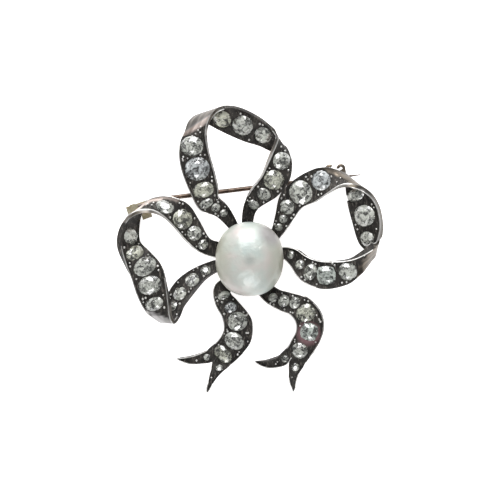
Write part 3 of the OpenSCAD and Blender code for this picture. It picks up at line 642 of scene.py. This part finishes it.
# Ribbons: the same smooth curve through the rows as the solid ribbons follow
ribbonLook = {
    "stepsPerRow": 8,
    "slopeStep": 0.2,  # rows to each side, for the way that the ribbon runs
    "edgeRound": 0.08,  # mm, rounding of the four long edges
    "edgeMost": 0.6,  # share of the half thickness that the rounding may take
    "cornerCut": 0.3,  # share of a rounding that is cut away at the middle of its corner
    "rimPolish": (0.5, 0.8, 1),  # on the side, at both ends of the rounding and at its middle
    "dishStart": 1.7,  # roundings from the edge, where the hollow of the face begins
    "dishPlaces": (0.6, 0.2),  # shares of the half width where the hollow has its depth
    "rimDepth": 0.05,  # mm, how far the bright edge runs down the side
    "sideLeast": 0.02,  # mm of the side that stays under it
    "dish": 0.09,  # mm, how far the set face is hollowed between its rims
    "paintedShadeWall": 0.08,  # share of the shine that is left on a wall painted dark as shade
    "faceChange": 0.12,  # rows between a dark and a polished face
    "seatSides": 28,
    "seatRoom": 0.03,  # mm round a stone
    "seatTries": 8,  # places tried for a seat, for each row
    "sharp": 38,  # degrees, from which an edge is shaded sharp
}


def rowValues(rows):
    middle, across, thick = [], [], []
    for fx, fy, bx, by, fz, bz, th in rows:
        height, rise = (fz + bz) / 200 * bow["depth"], (fz - bz) / 100 * bow["depth"]
        middle.append(Vector(((fx + bx) / 2 * squareX, (fy + by) / 2 * squareY, height)))
        across.append(Vector(((fx - bx) * squareR, (fy - by) * squareR, rise)))
        thick.append(th / 100 * bow["ribbonThickness"])
    return middle, across, thick


def smoothAt(values, u):
    last = len(values) - 1
    i = min(max(math.floor(u), 0), last - 1)
    t = u - i
    a, b = values[max(i - 1, 0)], values[i]
    c, d = values[i + 1], values[min(i + 2, last)]
    second, third = 2 * a - 5 * b + 4 * c - d, 3 * b - a - 3 * c + d
    return b + (c - a) * (t / 2) + second * (t * t / 2) + third * (t**3 / 2)


def ribbonAt(curve, u):
    middle, across, thick = curve
    side = smoothAt(across, u)
    step = ribbonLook["slopeStep"]
    before, after = max(0, u - step), min(len(middle) - 1, u + step)
    along = (smoothAt(middle, after) - smoothAt(middle, before)).normalized()
    return {
        "place": smoothAt(middle, u),
        "halfWidth": side.length / 2,
        "side": side.normalized(),
        "along": along,
        "out": side.cross(along).normalized(),
        "halfThick": smoothAt(thick, u) / 2,
    }


def addObject(name, data):
    obj = bpy.data.objects.new(name, data)
    bpy.context.scene.collection.objects.link(obj)
    return obj


def newMesh(name, points, faces, material, smooth=True):
    mesh = bpy.data.meshes.new(name)
    mesh.from_pydata([Vector(p) * mm for p in points], [], faces)
    mesh.materials.append(material)
    mesh.polygons.foreach_set("use_smooth", [smooth] * len(mesh.polygons))
    return addObject(name, mesh)


def ringPoints(n, a, b, z):
    angles = [2 * math.pi * i / n for i in range(n)]
    return [Vector((a * math.cos(t), b * math.sin(t), z)) for t in angles]


def tubeFaces(rings, n, capped=True, corner=0):
    # the faces of a tube of rings that have n points each; a face is split from the corner it starts at
    faces, last = [], (rings - 1) * n
    for ring in range(0, last, n):
        for i in range(n):
            a, b = ring + i, ring + (i + 1) % n
            face = (a, a + n, b + n, b)
            faces.append(face[corner:] + face[:corner])
    if capped:
        faces += [tuple(range(n)), tuple(reversed(range(last, last + n)))]
    return faces


# Which stretches of each side are dark and set with stones. The rest is polished.
# Sides: 1 is the side that the ribbon's outward direction points to, -1 the other one.
# A stretch is a side, its start and its end. Start and end are rows at places across the ribbon.
def allAcross(row):
    return [(-1, row), (1, row)]


setStretches = {
    "topLoop": [
        (1, allAcross(-1), [(-0.8, 8.6), (-0.3, 8.65), (0.4, 8.75), (0.85, 9.05)]),
        (-1, allAcross(10.4), allAcross(17.5)),
        (1, allAcross(17.0), allAcross(30)),
    ],
    "rightLoop": [
        (1, allAcross(-1), [(-0.8, 6.85), (-0.35, 7.2), (0, 7.6), (0.35, 8.05)]),
        (-1, allAcross(8.9), allAcross(15)),
        (1, [(-1, 17.4), (0, 16.7), (1, 15.3)], allAcross(30)),
    ],
    "leftLoop": [
        (-1, allAcross(-1), [(-1, 5.45), (-0.7, 6.5), (-0.5, 6.95), (-0.25, 7.5), (0.2, 7.85)]),
        (1, allAcross(8.7), [(-1, 16.3), (1, 15.1)]),
        (-1, allAcross(16.8), allAcross(30)),
    ],
}
tailStretches = [(-1, allAcross(-1), allAcross(30))]  # all of one side
# Polished stretches that aren't the plain rose gold: ribbon, start, end, tone, and rows that the
# change takes. Tone 1 is rose gold, 2 grey silver and 3 gold darkened as painted shade.
otherStretches = [
    ("leftLoop", allAcross(13), allAcross(19), 2, 1),
    # painted shade: the right loop's gold darkened
    ("rightLoop", allAcross(6), allAcross(18), 3, 1.6),
    # partly painted shade: the top loop's outer band, grey silver darkened towards brown
    ("topLoop", [(-1, 9.05), (1, 9.75)], allAcross(12), 2.6, 0.2),
]
# Where the side walls are painted lit, as edge, first row and last row: edge 1 is the front edge and -1
# the back edge. The other walls get painted shade, as dark as the set face.
paintedLitWalls = {
    "topLoop": [(1, 8, 11), (-1, 4, 8), (-1, 16.5, 20), (1, 17, 22.5)],
    "rightLoop": [(1, 2, 14.4), (-1, 6.5, 8), (-1, 14.5, 17)],
    "leftLoop": [(1, 1, 9.3), (-1, 6, 8.5), (1, 12.5, 20), (-1, 15, 18)],
    "leftTail": [(-1, 3.2, 7)],
    "rightTail": [(-1, 3.5, 7), (1, 3, 5)],
}


def acrossRow(line, v):
    if v <= line[0][0]:
        return line[0][1]
    for (v0, u0), (v1, u1) in zip(line, line[1:]):
        if v <= v1:
            return u0 + (u1 - u0) * (v - v0) / (v1 - v0)
    return line[-1][1]


def shareInside(start, end, u, v, change):
    # 0 outside a stretch and 1 inside it, with a change of some rows at its ends
    inside = min(u - acrossRow(start, v), acrossRow(end, v) - u)
    return min(1, max(0, inside / change + 0.5))


def wallPaintedLit(ribbon, v, u):
    edge = 1 if v > 0 else -1
    return any(wall == edge and first < u < last for wall, first, last in paintedLitWalls.get(ribbon, []))


def polishedTone(ribbon, u, v):
    tone = 1
    for place, start, end, other, change in otherStretches:
        if place == ribbon:
            tone += (other - tone) * shareInside(start, end, u, v, change)
    return tone


def polishedShare(ribbon, side, u, v):
    # 0 on the dark set face and 1 on the polished one
    dark = 0
    for stretchSide, start, end in setStretches.get(ribbon, tailStretches):
        if stretchSide == side:
            dark = max(dark, shareInside(start, end, u, v, ribbonLook["faceChange"]))
    return 1 - dark


def ribbonSection(at, dished):
    w, h = at["halfWidth"], at["halfThick"]
    r = min(ribbonLook["edgeRound"], h * ribbonLook["edgeMost"])
    cut, start = ribbonLook["cornerCut"] * r, ribbonLook["dishStart"] * r
    low = max(ribbonLook["sideLeast"], h - r - ribbonLook["rimDepth"])
    onSide, onEnd, onCorner = ribbonLook["rimPolish"]
    section = []  # v, height, side, share of the rim's polish
    for side in (1, -1):
        dish = ribbonLook["dish"] * dished[side]
        half = [  # from the edge to the middle
            (w, low, onSide),
            (w, h - r, onEnd),
            (w - cut, h - cut, onCorner),
            (w - r, h, onEnd),
            (w - start, h - dish / 2, 0),
            *[(share * w, h - dish, 0) for share in ribbonLook["dishPlaces"]],
        ]
        whole = [(-v, z, polish) for v, z, polish in half] + half[::-1]
        section += [(v, side * z, side, polish) for v, z, polish in whole[::side]]
    return section


def ribbonPiece(name, curve, first, last):
    # UV maps "finish" and "tone" say how each place is finished, "along" lays the ribbon out in mm
    points, uvs = [], {"finish": [], "tone": [], "along": []}
    run, before = 0, None
    steps = round((last - first) * ribbonLook["stepsPerRow"])
    for i in range(steps + 1):
        u = first + (last - first) * i / steps
        at = ribbonAt(curve, u)
        dished = {side: 1 - polishedShare(name, side, u, 0) for side in (1, -1)}
        section = ribbonSection(at, dished)
        run += (at["place"] - before).length if before else 0
        before = at["place"]
        for v, z, side, polish in section:
            points.append(at["place"] + at["side"] * v + at["out"] * z)
            # painted light and shade: listed side walls are painted lit, the others dark like the set
            # face
            share, paintedLit = v / at["halfWidth"], wallPaintedLit(name, v, u)
            paintedShadeWall = abs(v) >= at["halfWidth"] and not paintedLit
            bare = 0 if paintedShadeWall else polishedShare(name, side, u, share)
            uvs["finish"].append((bare, polish if paintedLit else ribbonLook["paintedShadeWall"] * polish))
            uvs["tone"].append((polishedTone(name, u, share), 0))
            uvs["along"].append((run, v + z))
    piece = newMesh(name, points, tubeFaces(steps + 1, len(section)), ribbonMetal)
    for label, values in uvs.items():
        layer = piece.data.uv_layers.new(name=label)
        for loop in piece.data.loops:
            layer.data[loop.index].uv = values[loop.vertex_index]
    return piece


# Seats: where each stone sits on its ribbon
def seatFor(curve, stone):
    target = Vector((stone[0] * squareX, stone[1] * squareY))
    tries = ribbonLook["seatTries"]
    rows = [i / tries for i in range(tries, (len(curve[0]) - 1) * tries + 1)]
    u = min(rows, key=lambda t: (smoothAt(curve[0], t).to_2d() - target).length)
    at = ribbonAt(curve, u)
    flat = at["side"].to_2d()
    off = (target - at["place"].to_2d()).dot(flat.normalized()) / flat.length
    out = -at["out"] if at["out"].z < 0 else at["out"]
    face = at["place"] + at["side"] * off + out * at["halfThick"]
    x = (at["along"] - out * at["along"].dot(out)).normalized()
    turn = Matrix((x, out.cross(x), out)).transposed().to_4x4()
    return {
        "place": face,
        "moved": Matrix.Translation(face) @ turn,
        "u": u,
        "along": stone[2] * squareR,
        "across": stone[3] * squareR,
    }


def seatCutter(seat):
    # a straight collar round the stone, then a slope to a window in the back
    n, room = ribbonLook["seatSides"], ribbonLook["seatRoom"]
    a, b = seat["along"] / 2 + room, seat["across"] / 2 + room
    step = -stones["sink"] - stones["girdle"] - room
    deep = step - max(bow["ribbonThickness"], stones["pavilion"] * min(a, b))
    points = []
    for z, share in ((bow["ribbonThickness"], 1), (step, 1), (deep, stones["window"])):
        points += [seat["moved"] @ p for p in ringPoints(n, a * share, b * share, z)]
    return points, tubeFaces(3, n, corner=3)


# Frame: the ribbons with their seats cut, the boss with its peg, and the two pads behind, joined
pearlSize = {
    "width": 9.5,
    "length": 10.4,
    "depth": 7.8,
    "fullness": 2.18,  # 2 is a plain ellipsoid
    "sides": 96,
    "rings": 64,
    "gap": 0.05,
}
boss = {
    "diameter": 5.2,
    "height": 2.2,
    "round": 0.15,
    "pegDiameter": 0.9,
    "pegFoot": 0.1,  # mm over the back
    "pegHeight": 2.6,  # mm over the boss
}
pearlMiddle = boss["height"] + pearlSize["gap"] + pearlSize["depth"] / 2


def evaluatedMesh(piece):
    return bpy.data.meshes.new_from_object(piece.evaluated_get(bpy.context.evaluated_depsgraph_get()))


def cutAway(piece, cutter):
    modifier = piece.modifiers.new("seats", "BOOLEAN")
    modifier.operation = "DIFFERENCE"
    modifier.solver = "MANIFOLD"
    modifier.object = cutter
    cut = evaluatedMesh(piece)
    piece.modifiers.clear()
    old = piece.data
    piece.data = cut
    bpy.data.meshes.remove(old)
    bpy.data.objects.remove(cutter)


def pearlPoint(d, extra):
    power = pearlSize["fullness"]
    full = (abs(d.x) ** power + abs(d.y) ** power + abs(d.z) ** power) ** (-1 / power)
    return Vector((
        d.x * full * (pearlSize["width"] / 2 + extra),
        d.y * full * (pearlSize["length"] / 2 + extra),
        pearlMiddle + d.z * full * (pearlSize["depth"] / 2 + extra),
    ))


def pearlForm(extra, sides=64, rings=32):
    # a ball of the pearl's size, a little fuller at its shoulders than a plain ellipsoid
    points = []
    for i in range(1, rings):
        up = math.pi * i / rings
        ring = ringPoints(sides, math.sin(up), math.sin(up), math.cos(up))
        points += [pearlPoint(d, extra) for d in ring]
    last, top, bottom = len(points) - sides, len(points), len(points) + 1
    points += [pearlPoint(Vector((0, 0, end)), extra) for end in (1, -1)]
    faces = tubeFaces(rings - 1, sides, capped=False)
    for j in range(sides):
        nextOne = (j + 1) % sides
        faces += [(top, j, nextOne), (bottom, last + nextOne, last + j)]
    return points, faces


frameParts = []
curves = {name: rowValues(rows) for name, rows in ribbons.items()}
seatsOf = {name: [seatFor(curves[name], stone) for stone in stoneRows[name]] for name in ribbons}
for name, rows in ribbons.items():
    last = len(rows) - 1
    spans = [(0, last // 2), (last // 2, last)] if name.endswith("Loop") else [(0, last)]
    # the points of a tail run into it, so each is cut by all the seats of the tail
    tail = next((t for t in ("leftTail", "rightTail") if name.startswith(t)), name)
    cuts = [seat for other in ribbons if other.startswith(tail) for seat in seatsOf[other]]
    for first, end in spans:
        part = ribbonPiece(name, curves[name], first, end)
        for seat in cuts:
            cutAway(part, newMesh("seatCutter", *seatCutter(seat), ribbonMetal))
        cutAway(part, newMesh("pearlSeat", *pearlForm(pearlSize["gap"]), ribbonMetal))
        frameParts.append(part)
print("Ribbons made:", len(frameParts), "with", sum(len(s) for s in seatsOf.values()), "seats")


def turnedPiece(name, profile, sides=48):
    # a round piece on the Z axis from its outline, radius and height, from bottom to top
    points = [p for radius, z in profile for p in ringPoints(sides, radius, radius, z)]
    faces = [face[::-1] for face in tubeFaces(len(profile), sides, corner=1)]
    return newMesh(name, points, faces, ribbonMetal)


bossRadius, pegRadius = boss["diameter"] / 2, boss["pegDiameter"] / 2
bossCut = ribbonLook["cornerCut"] * boss["round"]
bossPart = turnedPiece("boss", [
    (bossRadius - boss["round"], 0),
    (bossRadius - bossCut, bossCut),
    (bossRadius, boss["round"]),
    (bossRadius, boss["height"]),
])
pegTop = boss["height"] + boss["pegHeight"]
pegPart = turnedPiece("peg", [(pegRadius, boss["pegFoot"]), (pegRadius, pegTop)])
cutAway(bossPart, newMesh("pearlSeat", *pearlForm(pearlSize["gap"]), ribbonMetal))

# Two pads behind, that the hinge and the hook are soldered to: they lie on a line, given in squares
pads = {
    "length": 1.4,
    "width": 1.2,
    "round": 0.08,
    "hinge": {"from": (-116, 48.5), "way": (39, 13.5), "along": 1.5, "low": 2.27, "high": 3.72},
    "hook": {"from": (87, 82), "way": (189, 23), "along": 0, "low": 1.87, "high": 4.68},
}


def editMesh(piece, change):
    work = bmesh.new()
    work.from_mesh(piece.data)
    change(work)
    work.to_mesh(piece.data)
    work.free()


def roundPad(work):
    bmesh.ops.bevel(work, geom=work.edges[:], offset=pads["round"] * mm, segments=3, affect="EDGES")


def padPiece(name):
    row = pads[name]
    start = Vector((row["from"][0] * squareX, row["from"][1] * squareY))
    way = Vector((row["way"][0] * squareX, row["way"][1] * squareY)).normalized()
    middle = start + way * row["along"]
    x, y = way * pads["length"] / 2, Vector((-way.y, way.x)) * pads["width"] / 2
    corners = ((-1, -1), (1, -1), (1, 1), (-1, 1))
    points = [(*(middle + x * a + y * b), z) for z in (row["low"], row["high"]) for a, b in corners]
    faces = [(3, 2, 1, 0), (4, 5, 6, 7), (0, 1, 5, 4), (1, 2, 6, 5), (2, 3, 7, 6), (3, 0, 4, 7)]
    piece = newMesh(name + "Pad", points, faces, ribbonMetal)
    editMesh(piece, roundPad)
    return piece


backParts = [bossPart, pegPart, padPiece("hinge"), padPiece("hook")]
frameParts += backParts
for part in frameParts:
    for label in ("finish", "tone", "along"):
        layer = part.data.uv_layers.get(label) or part.data.uv_layers.new(name=label)
        if part in backParts:
            for loop in part.data.loops:
                place = part.data.vertices[loop.vertex_index].co / mm
                layer.data[loop.index].uv = (place.x, place.y) if label == "along" else (1, 0)


def joinParts(name, parts):
    joined = bmesh.new()
    for part in parts:
        joined.from_mesh(part.data)
        bpy.data.objects.remove(part)
    mesh = bpy.data.meshes.new(name)
    joined.to_mesh(mesh)
    joined.free()
    mesh.materials.append(ribbonMetal)
    return addObject(name, mesh)


bowFrame = joinParts("bowFrame", frameParts)
bowFrame.data.set_sharp_from_angle(angle=math.radians(ribbonLook["sharp"]))
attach(bowFrame, "brooch")
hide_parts("bow_frame")
print("Frame joined:", len(bowFrame.data.polygons), "faces")


# Stones: an old cut with a table, stars, kites, halves, a deep pavilion and a small open culet
def oldCut(along, across, turn, power):
    a, b, w = along / 2, across / 2, min(along, across)
    crown, pavilion = stones["crown"] * w, stones["pavilion"] * w
    cos8 = math.cos(math.pi / 8)

    def at(radius, angle, z):
        t = math.radians(angle + turn)
        c, s = math.cos(t), math.sin(t)
        full = (abs(c) ** power + abs(s) ** power) ** (-1 / power)
        return Vector((a * radius * full * c, b * radius * full * s, z))

    def crownHeight(x):
        return crown * (1 - x) / (1 - stones["table"])

    def pavilionHeight(x):
        return -stones["girdle"] - pavilion * (1 - x)

    starHeight, halfHeight = crownHeight(stones["star"] * cos8), pavilionHeight(stones["half"] * cos8)
    table = [at(stones["table"], 45 * k, crown) for k in range(8)]
    star = [at(stones["star"], 45 * k + 22.5, starHeight) for k in range(8)]
    upper = [at(1, 22.5 * k, 0) for k in range(16)]
    lower = [at(1, 22.5 * k, -stones["girdle"]) for k in range(16)]
    half = [at(stones["half"], 45 * k + 22.5, halfHeight) for k in range(8)]
    culet = [at(stones["culet"], 45 * k, pavilionHeight(stones["culet"])) for k in range(8)]
    faces = [tuple(range(8))]
    for k in range(8):
        n, g, h = (k + 1) % 8, 16 + 2 * k, 32 + 2 * k
        g1, g2, h1, h2 = g + 1, 16 + (2 * k + 2) % 16, h + 1, 32 + (2 * k + 2) % 16
        faces += [
            (k, 8 + k, n),
            (k, 8 + (k + 7) % 8, g, 8 + k),
            (8 + k, g, g1),
            (8 + k, g1, g2),
            (g, h, h1, g1),
            (g1, h1, h2, g2),
            (h, 48 + k, h1),
            (h1, 48 + k, h2),
            (h, 48 + (k + 7) % 8, 56 + k, 48 + k),
            (56 + k, 56 + n, 48 + k),
        ]
    faces.append(tuple(reversed(range(56, 64))))
    return table + star + upper + lower + half + culet, faces


def turnOutwards(work):
    bmesh.ops.recalc_face_normals(work, faces=work.faces)


def stonesPiece(name, ribbonNames):
    points, faces, slots = [], [], []
    tints = list(stoneTints)
    for ribbon in ribbonNames:
        for stone, seat in zip(stoneRows[ribbon], seatsOf[ribbon]):
            made, flat = oldCut(seat["along"], seat["across"], stone[5], stone[6])
            base = len(points)
            points += [seat["moved"] @ (p - Vector((0, 0, stones["sink"]))) for p in made]
            faces += [tuple(base + i for i in face) for face in flat]
            slots += [tints.index(stone[4])] * len(flat)
    piece = newMesh(name, points, faces, stoneMaterials[tints[0]], smooth=False)
    for tint in tints[1:]:
        piece.data.materials.append(stoneMaterials[tint])
    piece.data.polygons.foreach_set("material_index", slots)
    editMesh(piece, turnOutwards)
    return piece


# Ribbon, label of its stones' nodes, and how many main stones it has
stoneNodes = [
    ("topLoop", "top", 11),
    ("rightLoop", "right", 9),
    ("leftLoop", "left", 11),
    ("leftTail", "left_tail", 4),
    ("rightTail", "right_tail", 5),
]
for ribbon, label, count in stoneNodes:
    near = [other for other in stoneRows if other.startswith(ribbon)]
    piece = stonesPiece(ribbon.removesuffix("Loop") + "Stones", near)
    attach(piece, "brooch")
    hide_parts(*[label + "_stone_" + str(i + 1) for i in range(count)], label + "_small_stones")
print("Stones cut:", sum(len(rows) for rows in stoneRows.values()))


# Rims are fine bright lines along some edges of the ribbons, and grains are the little beads of
# silver between the stones. Both are Geometry Nodes.
def newTree(name, *inputs):
    lines = ("Geometry", "Geometry")
    return newGroup(name, "Geometry", [lines, *inputs, ("Material", "Material")], [lines])


def endTree(tree, material, geometry):
    for kind in ("RealizeInstances", "SetShadeSmooth", "SetMaterial"):
        node = addNode(tree, "GeometryNode" + kind, Geometry=geometry)
        geometry = node.outputs["Geometry"]
    tree.links.new(material, node.inputs["Material"])
    addNode(tree, "NodeGroupOutput", Geometry=geometry)
    return tree


def makeRimTree():
    tree, given = newTree("rimWire", ("Radius", "Float", 0.00005), ("Sides", "Int", 8))
    curve = addNode(tree, "GeometryNodeMeshToCurve", Mesh=given["Geometry"]).outputs["Curve"]
    profile = addNode(tree, "GeometryNodeCurvePrimitiveCircle", Radius=given["Radius"])
    tree.links.new(given["Sides"], profile.inputs["Resolution"])
    sweep = addNode(tree, "GeometryNodeCurveToMesh", Curve=curve, Fill_Caps=True)
    tree.links.new(profile.outputs["Curve"], sweep.inputs["Profile Curve"])
    return endTree(tree, given["Material"], sweep.outputs["Mesh"])


def makeGrainTree():
    inputs = ("Radius", "Float", 0.00014), ("Spread", "Float", 0.2), ("Seed", "Int", 4)
    tree, given = newTree("grainBeads", *inputs)
    bead = addNode(tree, "GeometryNodeMeshUVSphere", Segments=8, Rings=6, Radius=given["Radius"])
    scale = addNode(tree, "FunctionNodeRandomValue", data_type="FLOAT", Seed=given["Seed"])
    ends = [socket for socket in scale.inputs if socket.type == "VALUE"]
    for operation, socket in zip(("SUBTRACT", "ADD"), ends):
        tree.links.new(mathNode(tree, operation, 1, given["Spread"]), socket)
    places = addNode(
        tree,
        "GeometryNodeInstanceOnPoints",
        Points=given["Geometry"],
        Instance=bead.outputs["Mesh"],
        Scale=next(socket for socket in scale.outputs if socket.type == "VALUE"),
    )
    return endTree(tree, given["Material"], places.outputs["Instances"])


def growPiece(name, points, edges, tree, values):
    # runs a tree on bare points and edges, and keeps its result as a plain mesh
    mesh = bpy.data.meshes.new(name + "Lines")
    mesh.from_pydata([p * mm for p in points], edges, [])
    lines = addObject(name + "Lines", mesh)
    modifier = lines.modifiers.new("grow", "NODES")
    modifier.node_group = tree
    for item in tree.interface.items_tree:
        if item.in_out == "INPUT" and item.name in values:
            modifier[item.identifier] = values[item.name]
    grown = evaluatedMesh(lines)
    bpy.data.objects.remove(lines)
    return addObject(name, grown)


rims = {
    "radius": 0.07,  # mm
    "inset": 0.05,  # mm, from the ribbon's edge
    "sides": 8,
    "stepsPerRow": 6,
}
# Side, edge, first row and last row of each bright line: edge 1 is the front edge, -1 the back edge
rimRows = {
    "topLoop": [
        (1, 1, 4, 9.6), (-1, 1, 9.4, 11.1), (1, -1, 3.5, 8), (-1, 1, 15.6, 17), (1, 1, 16.9, 22.5),
    ],
    "rightLoop": [(1, 1, 2.5, 8), (-1, 1, 8.4, 15), (1, 1, 15, 23), (1, -1, 19.3, 21.8)],
    "leftLoop": [(-1, 1, 2, 9), (1, 1, 11, 16), (1, -1, 13.5, 17), (-1, -1, 5.5, 8.5)],
    "leftTail": [(-1, -1, 1.5, 8)],
    "leftTailUpperPoint": [(-1, -1, 1, 6), (-1, 1, 3.5, 6)],
    "leftTailLowerPoint": [(-1, 1, 5, 7), (-1, -1, 5, 7)],
    "rightTail": [(-1, -1, 1.5, 9), (-1, 1, 5.5, 9.5)],
    "rightTailLeftPoint": [(-1, 1, 1, 5)],
    "rightTailLowerPoint": [(-1, 1, 3, 7), (-1, -1, 4, 7)],
}


def onFace(name, side, u, v, sunk=0):
    at = ribbonAt(curves[name], u)
    half = at["halfWidth"] - rims["inset"]
    return at["place"] + at["side"] * v * half + at["out"] * side * (at["halfThick"] - sunk)


def clearOfPearl(p):
    d = Vector((p.x, p.y, p.z - pearlMiddle))
    surface = pearlPoint(d.normalized(), 2 * pearlSize["gap"]) - Vector((0, 0, pearlMiddle))
    return d.length > surface.length and (p.to_2d().length > bossRadius or p.z > boss["height"])


rimPoints, rimEdges = [], []
for name, rows in rimRows.items():
    for side, edge, first, last in rows:
        steps = max(2, round((last - first) * rims["stepsPerRow"]))
        joins = False  # with the point before
        for i in range(steps + 1):
            p = onFace(name, side, first + (last - first) * i / steps, edge)
            clear = clearOfPearl(p)
            if clear and joins:
                rimEdges.append((len(rimPoints) - 1, len(rimPoints)))
            if clear:
                rimPoints.append(p)
            joins = clear
rimValues = {"Radius": rims["radius"] * mm, "Sides": rims["sides"], "Material": brightSilver}
silverRims = growPiece("silverRims", rimPoints, rimEdges, makeRimTree(), rimValues)
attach(silverRims, "brooch")
print("Rims drawn:", len(rimEdges), "lengths")

grains = {
    "radius": 0.15,  # mm
    "spread": 0.25,  # how much larger or smaller one may be, as a share
    "seed": 7,
    "sunk": 0.03,  # mm, how deep the middle of one is in the face
    "overStone": 0.09,  # mm of one that may lie over a stone's edge
    "apart": 0.75,  # stones further apart than this share of their two lengths have none between them
    "across": (0.74, 0.66, 0.58, 0.5),  # places tried, as shares of the ribbon's half width
    "besideAlong": 0.21,  # rows from a grain to the one that every other grain has beside it
    "besideAcross": 0.06,  # and how much further out that one is
}
# Grains at the ends of the rows of stones, and others that stand out: x and y in squares
grainRows = {
    "topLoop": [
        (28.5, 116.1), (29.5, 111.1), (34, 108.5), (-49.5, 126.1), (-52.5, 124.1), (-45.8, 126.3),
        (-46.8, 121.8), (-56.2, 123), (-61.5, 101.1), (-48.5, 104.1), (-41, 78.1), (13.5, 70.6),
        (-66.5, 99),
    ],
    "rightLoop": [
        (81.5, 81.1), (88.5, 78.1), (84, 73.5), (62.5, 82.5), (59.5, 80), (107, 4.5), (84.5, -3),
    ],
    "leftLoop": [
        (-101, 52.6), (-95.5, 54.6), (-95.5, 51.1), (-102.5, -39.4), (-83.5, -46.5), (-70.8, -55),
    ],
    "leftTail": [(-2.8, -75), (-24.5, -73), (-27, -45.5), (-2, -50), (-16, -88.5), (-1.6, -84)],
    "leftTailUpperPoint": [(-52.5, -101.4)],
    "leftTailLowerPoint": [(-37.5, -117.4)],
    "rightTail": [(58.5, -41.5), (68, -57.5), (70.5, -62), (67.5, -74), (36.5, -37), (64, -84)],
    "rightTailLeftPoint": [(29.5, -100.9), (27.5, -103.9)],
    "rightTailLowerPoint": [(43, -116.4)],
}


def hasRoom(p, seats):
    # whether a grain at this point lies far enough outside the outline of each stone
    for seat in seats:
        local = seat["moved"].inverted() @ p
        share = math.hypot(local.x / (seat["along"] / 2), local.y / (seat["across"] / 2))
        flat = math.hypot(local.x, local.y)
        if share == 0 or flat - flat / share <= grains["radius"] - grains["overStone"]:
            return False
    return True


grainPoints = []
for name, seats in seatsOf.items():
    order = sorted(seats, key=lambda seat: seat["u"])
    for k, (a, b) in enumerate(zip(order, order[1:])):
        lengths = a["along"] + b["along"]
        if (b["place"] - a["place"]).length > grains["apart"] * lengths:
            continue
        u = a["u"] + (b["u"] - a["u"]) * (a["along"] / lengths)
        side = 1 if ribbonAt(curves[name], u)["out"].z > 0 else -1
        for edge in (-1, 1):
            for v in grains["across"]:
                p = onFace(name, side, u, edge * v, grains["sunk"])
                if hasRoom(p, seats):
                    nextU, nextV = u + edge * grains["besideAlong"], edge * (v + grains["besideAcross"])
                    q = onFace(name, side, nextU, nextV, grains["sunk"])
                    paired = (k + (edge > 0)) % 2 == 0 and hasRoom(q, seats)
                    grainPoints += [spot for spot in ([p, q] if paired else [p]) if clearOfPearl(spot)]
                    break
    grainPoints += [seatFor(curves[name], (x, y, 1, 1))["place"] for x, y in grainRows.get(name, [])]
grainValues = {
    "Radius": grains["radius"] * mm,
    "Spread": grains["spread"],
    "Seed": grains["seed"],
    "Material": brightSilver,
}
silverGrains = growPiece("silverGrains", grainPoints, [], makeGrainTree(), grainValues)
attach(silverGrains, "brooch")
print("Grains set:", len(grainPoints))

# Pearl
pearl = newMesh("pearlBall", *pearlForm(0, pearlSize["sides"], pearlSize["rings"]), pearlNacre)
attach(pearl, "brooch")
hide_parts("pearl")
print("Pearl made")

# Fittings keep their solids
fittings = {
    "hinge_bracket": blockGold,
    "hinge_rivet": blockGold,
    "catch": hornGold,
    "pin_stem": pinGold,
}
for node, material in fittings.items():
    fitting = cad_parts[node]
    fitting.data.materials.clear()
    fitting.data.materials.append(material)


# Floor, light and camera
studio = {
    "world": {"Color": (0.98, 0.99, 1), "Strength": 0.24},
    "floor": ((0.93, 0.93, 0.93), (0.9207, 0.9207, 0.9207)),
    "floorGrain": {"Scale": 900.0, "Detail": 2.0},
    "floorHalf": 2000,  # mm
    "floorRoughness": 0.35,
    "floorGlow": 0.75,
    "cameraHeight": 0.55,  # m above the back
    "ribbonHeight": 0.0045,  # m above the back
    "imageWidth": 0.070,  # m seen across the photo's frame, at the ribbons' height
    "middle": (0.00007, 0.00127),
    "sensor": 36,
    "clipStart": 0.01,  # m
}


def makeFloor():
    material, tree, shader = newMaterial("whiteTable")
    grain = onObject(tree, "ShaderNodeTexNoise", **studio["floorGrain"])
    faces = tree.nodes.new("ShaderNodeNewGeometry")
    feedAll(tree, shader, {
        "Base Color": mixColour(tree, grain.outputs["Fac"], *studio["floor"]),
        "Roughness": studio["floorRoughness"],
        "Emission Color": (1, 1, 1),
        "Emission Strength": studio["floorGlow"],
        # clear from below, so that the back and the open pin can be seen
        "Alpha": mathNode(tree, "SUBTRACT", 1, faces.outputs["Backfacing"]),
    })
    half, low = studio["floorHalf"], cadBox[0][2] / mm
    corners = [(x * half, y * half, low) for x, y in ((-1, -1), (1, -1), (1, 1), (-1, 1))]
    floor = newMesh("floor", corners, [(0, 1, 2, 3)], material)


makeFloor()

softLights = [
    # name, place in m, size in m, power in W
    ("above", (-0.04, 0.37, 0.26), (0.3, 0.5), 3.0),
    ("below", (0.0, -0.37, 0.24), (0.16, 0.36), 1.1),
    ("leftSide", (-0.36, 0.22, 0.12), (0.2, 0.16), 0.15),
]
for name, place, size, power in softLights:
    light = bpy.data.lights.new(name, "AREA")
    light.shape = "RECTANGLE"
    light.size, light.size_y = size
    light.energy = power
    lamp = addObject(name, light)
    lamp.location = place
    lamp.rotation_euler = (-Vector(place)).to_track_quat("-Z", "Y").to_euler()

world = bpy.data.worlds.new("studio")
world.use_nodes = True
feedAll(world.node_tree, world.node_tree.nodes["Background"], studio["world"])
bpy.context.scene.world = world
bpy.context.scene.view_settings.view_transform = "Standard"

camera = bpy.data.cameras.new("camera")
camera.sensor_width = studio["sensor"]
distance = studio["cameraHeight"] - studio["ribbonHeight"]
camera.lens = studio["sensor"] * distance / studio["imageWidth"]
camera.clip_start = studio["clipStart"]
cameraStand = addObject("camera", camera)
cameraStand.location = (*studio["middle"], studio["cameraHeight"])
bpy.context.scene.camera = cameraStand
print("Floor, lights and camera set")
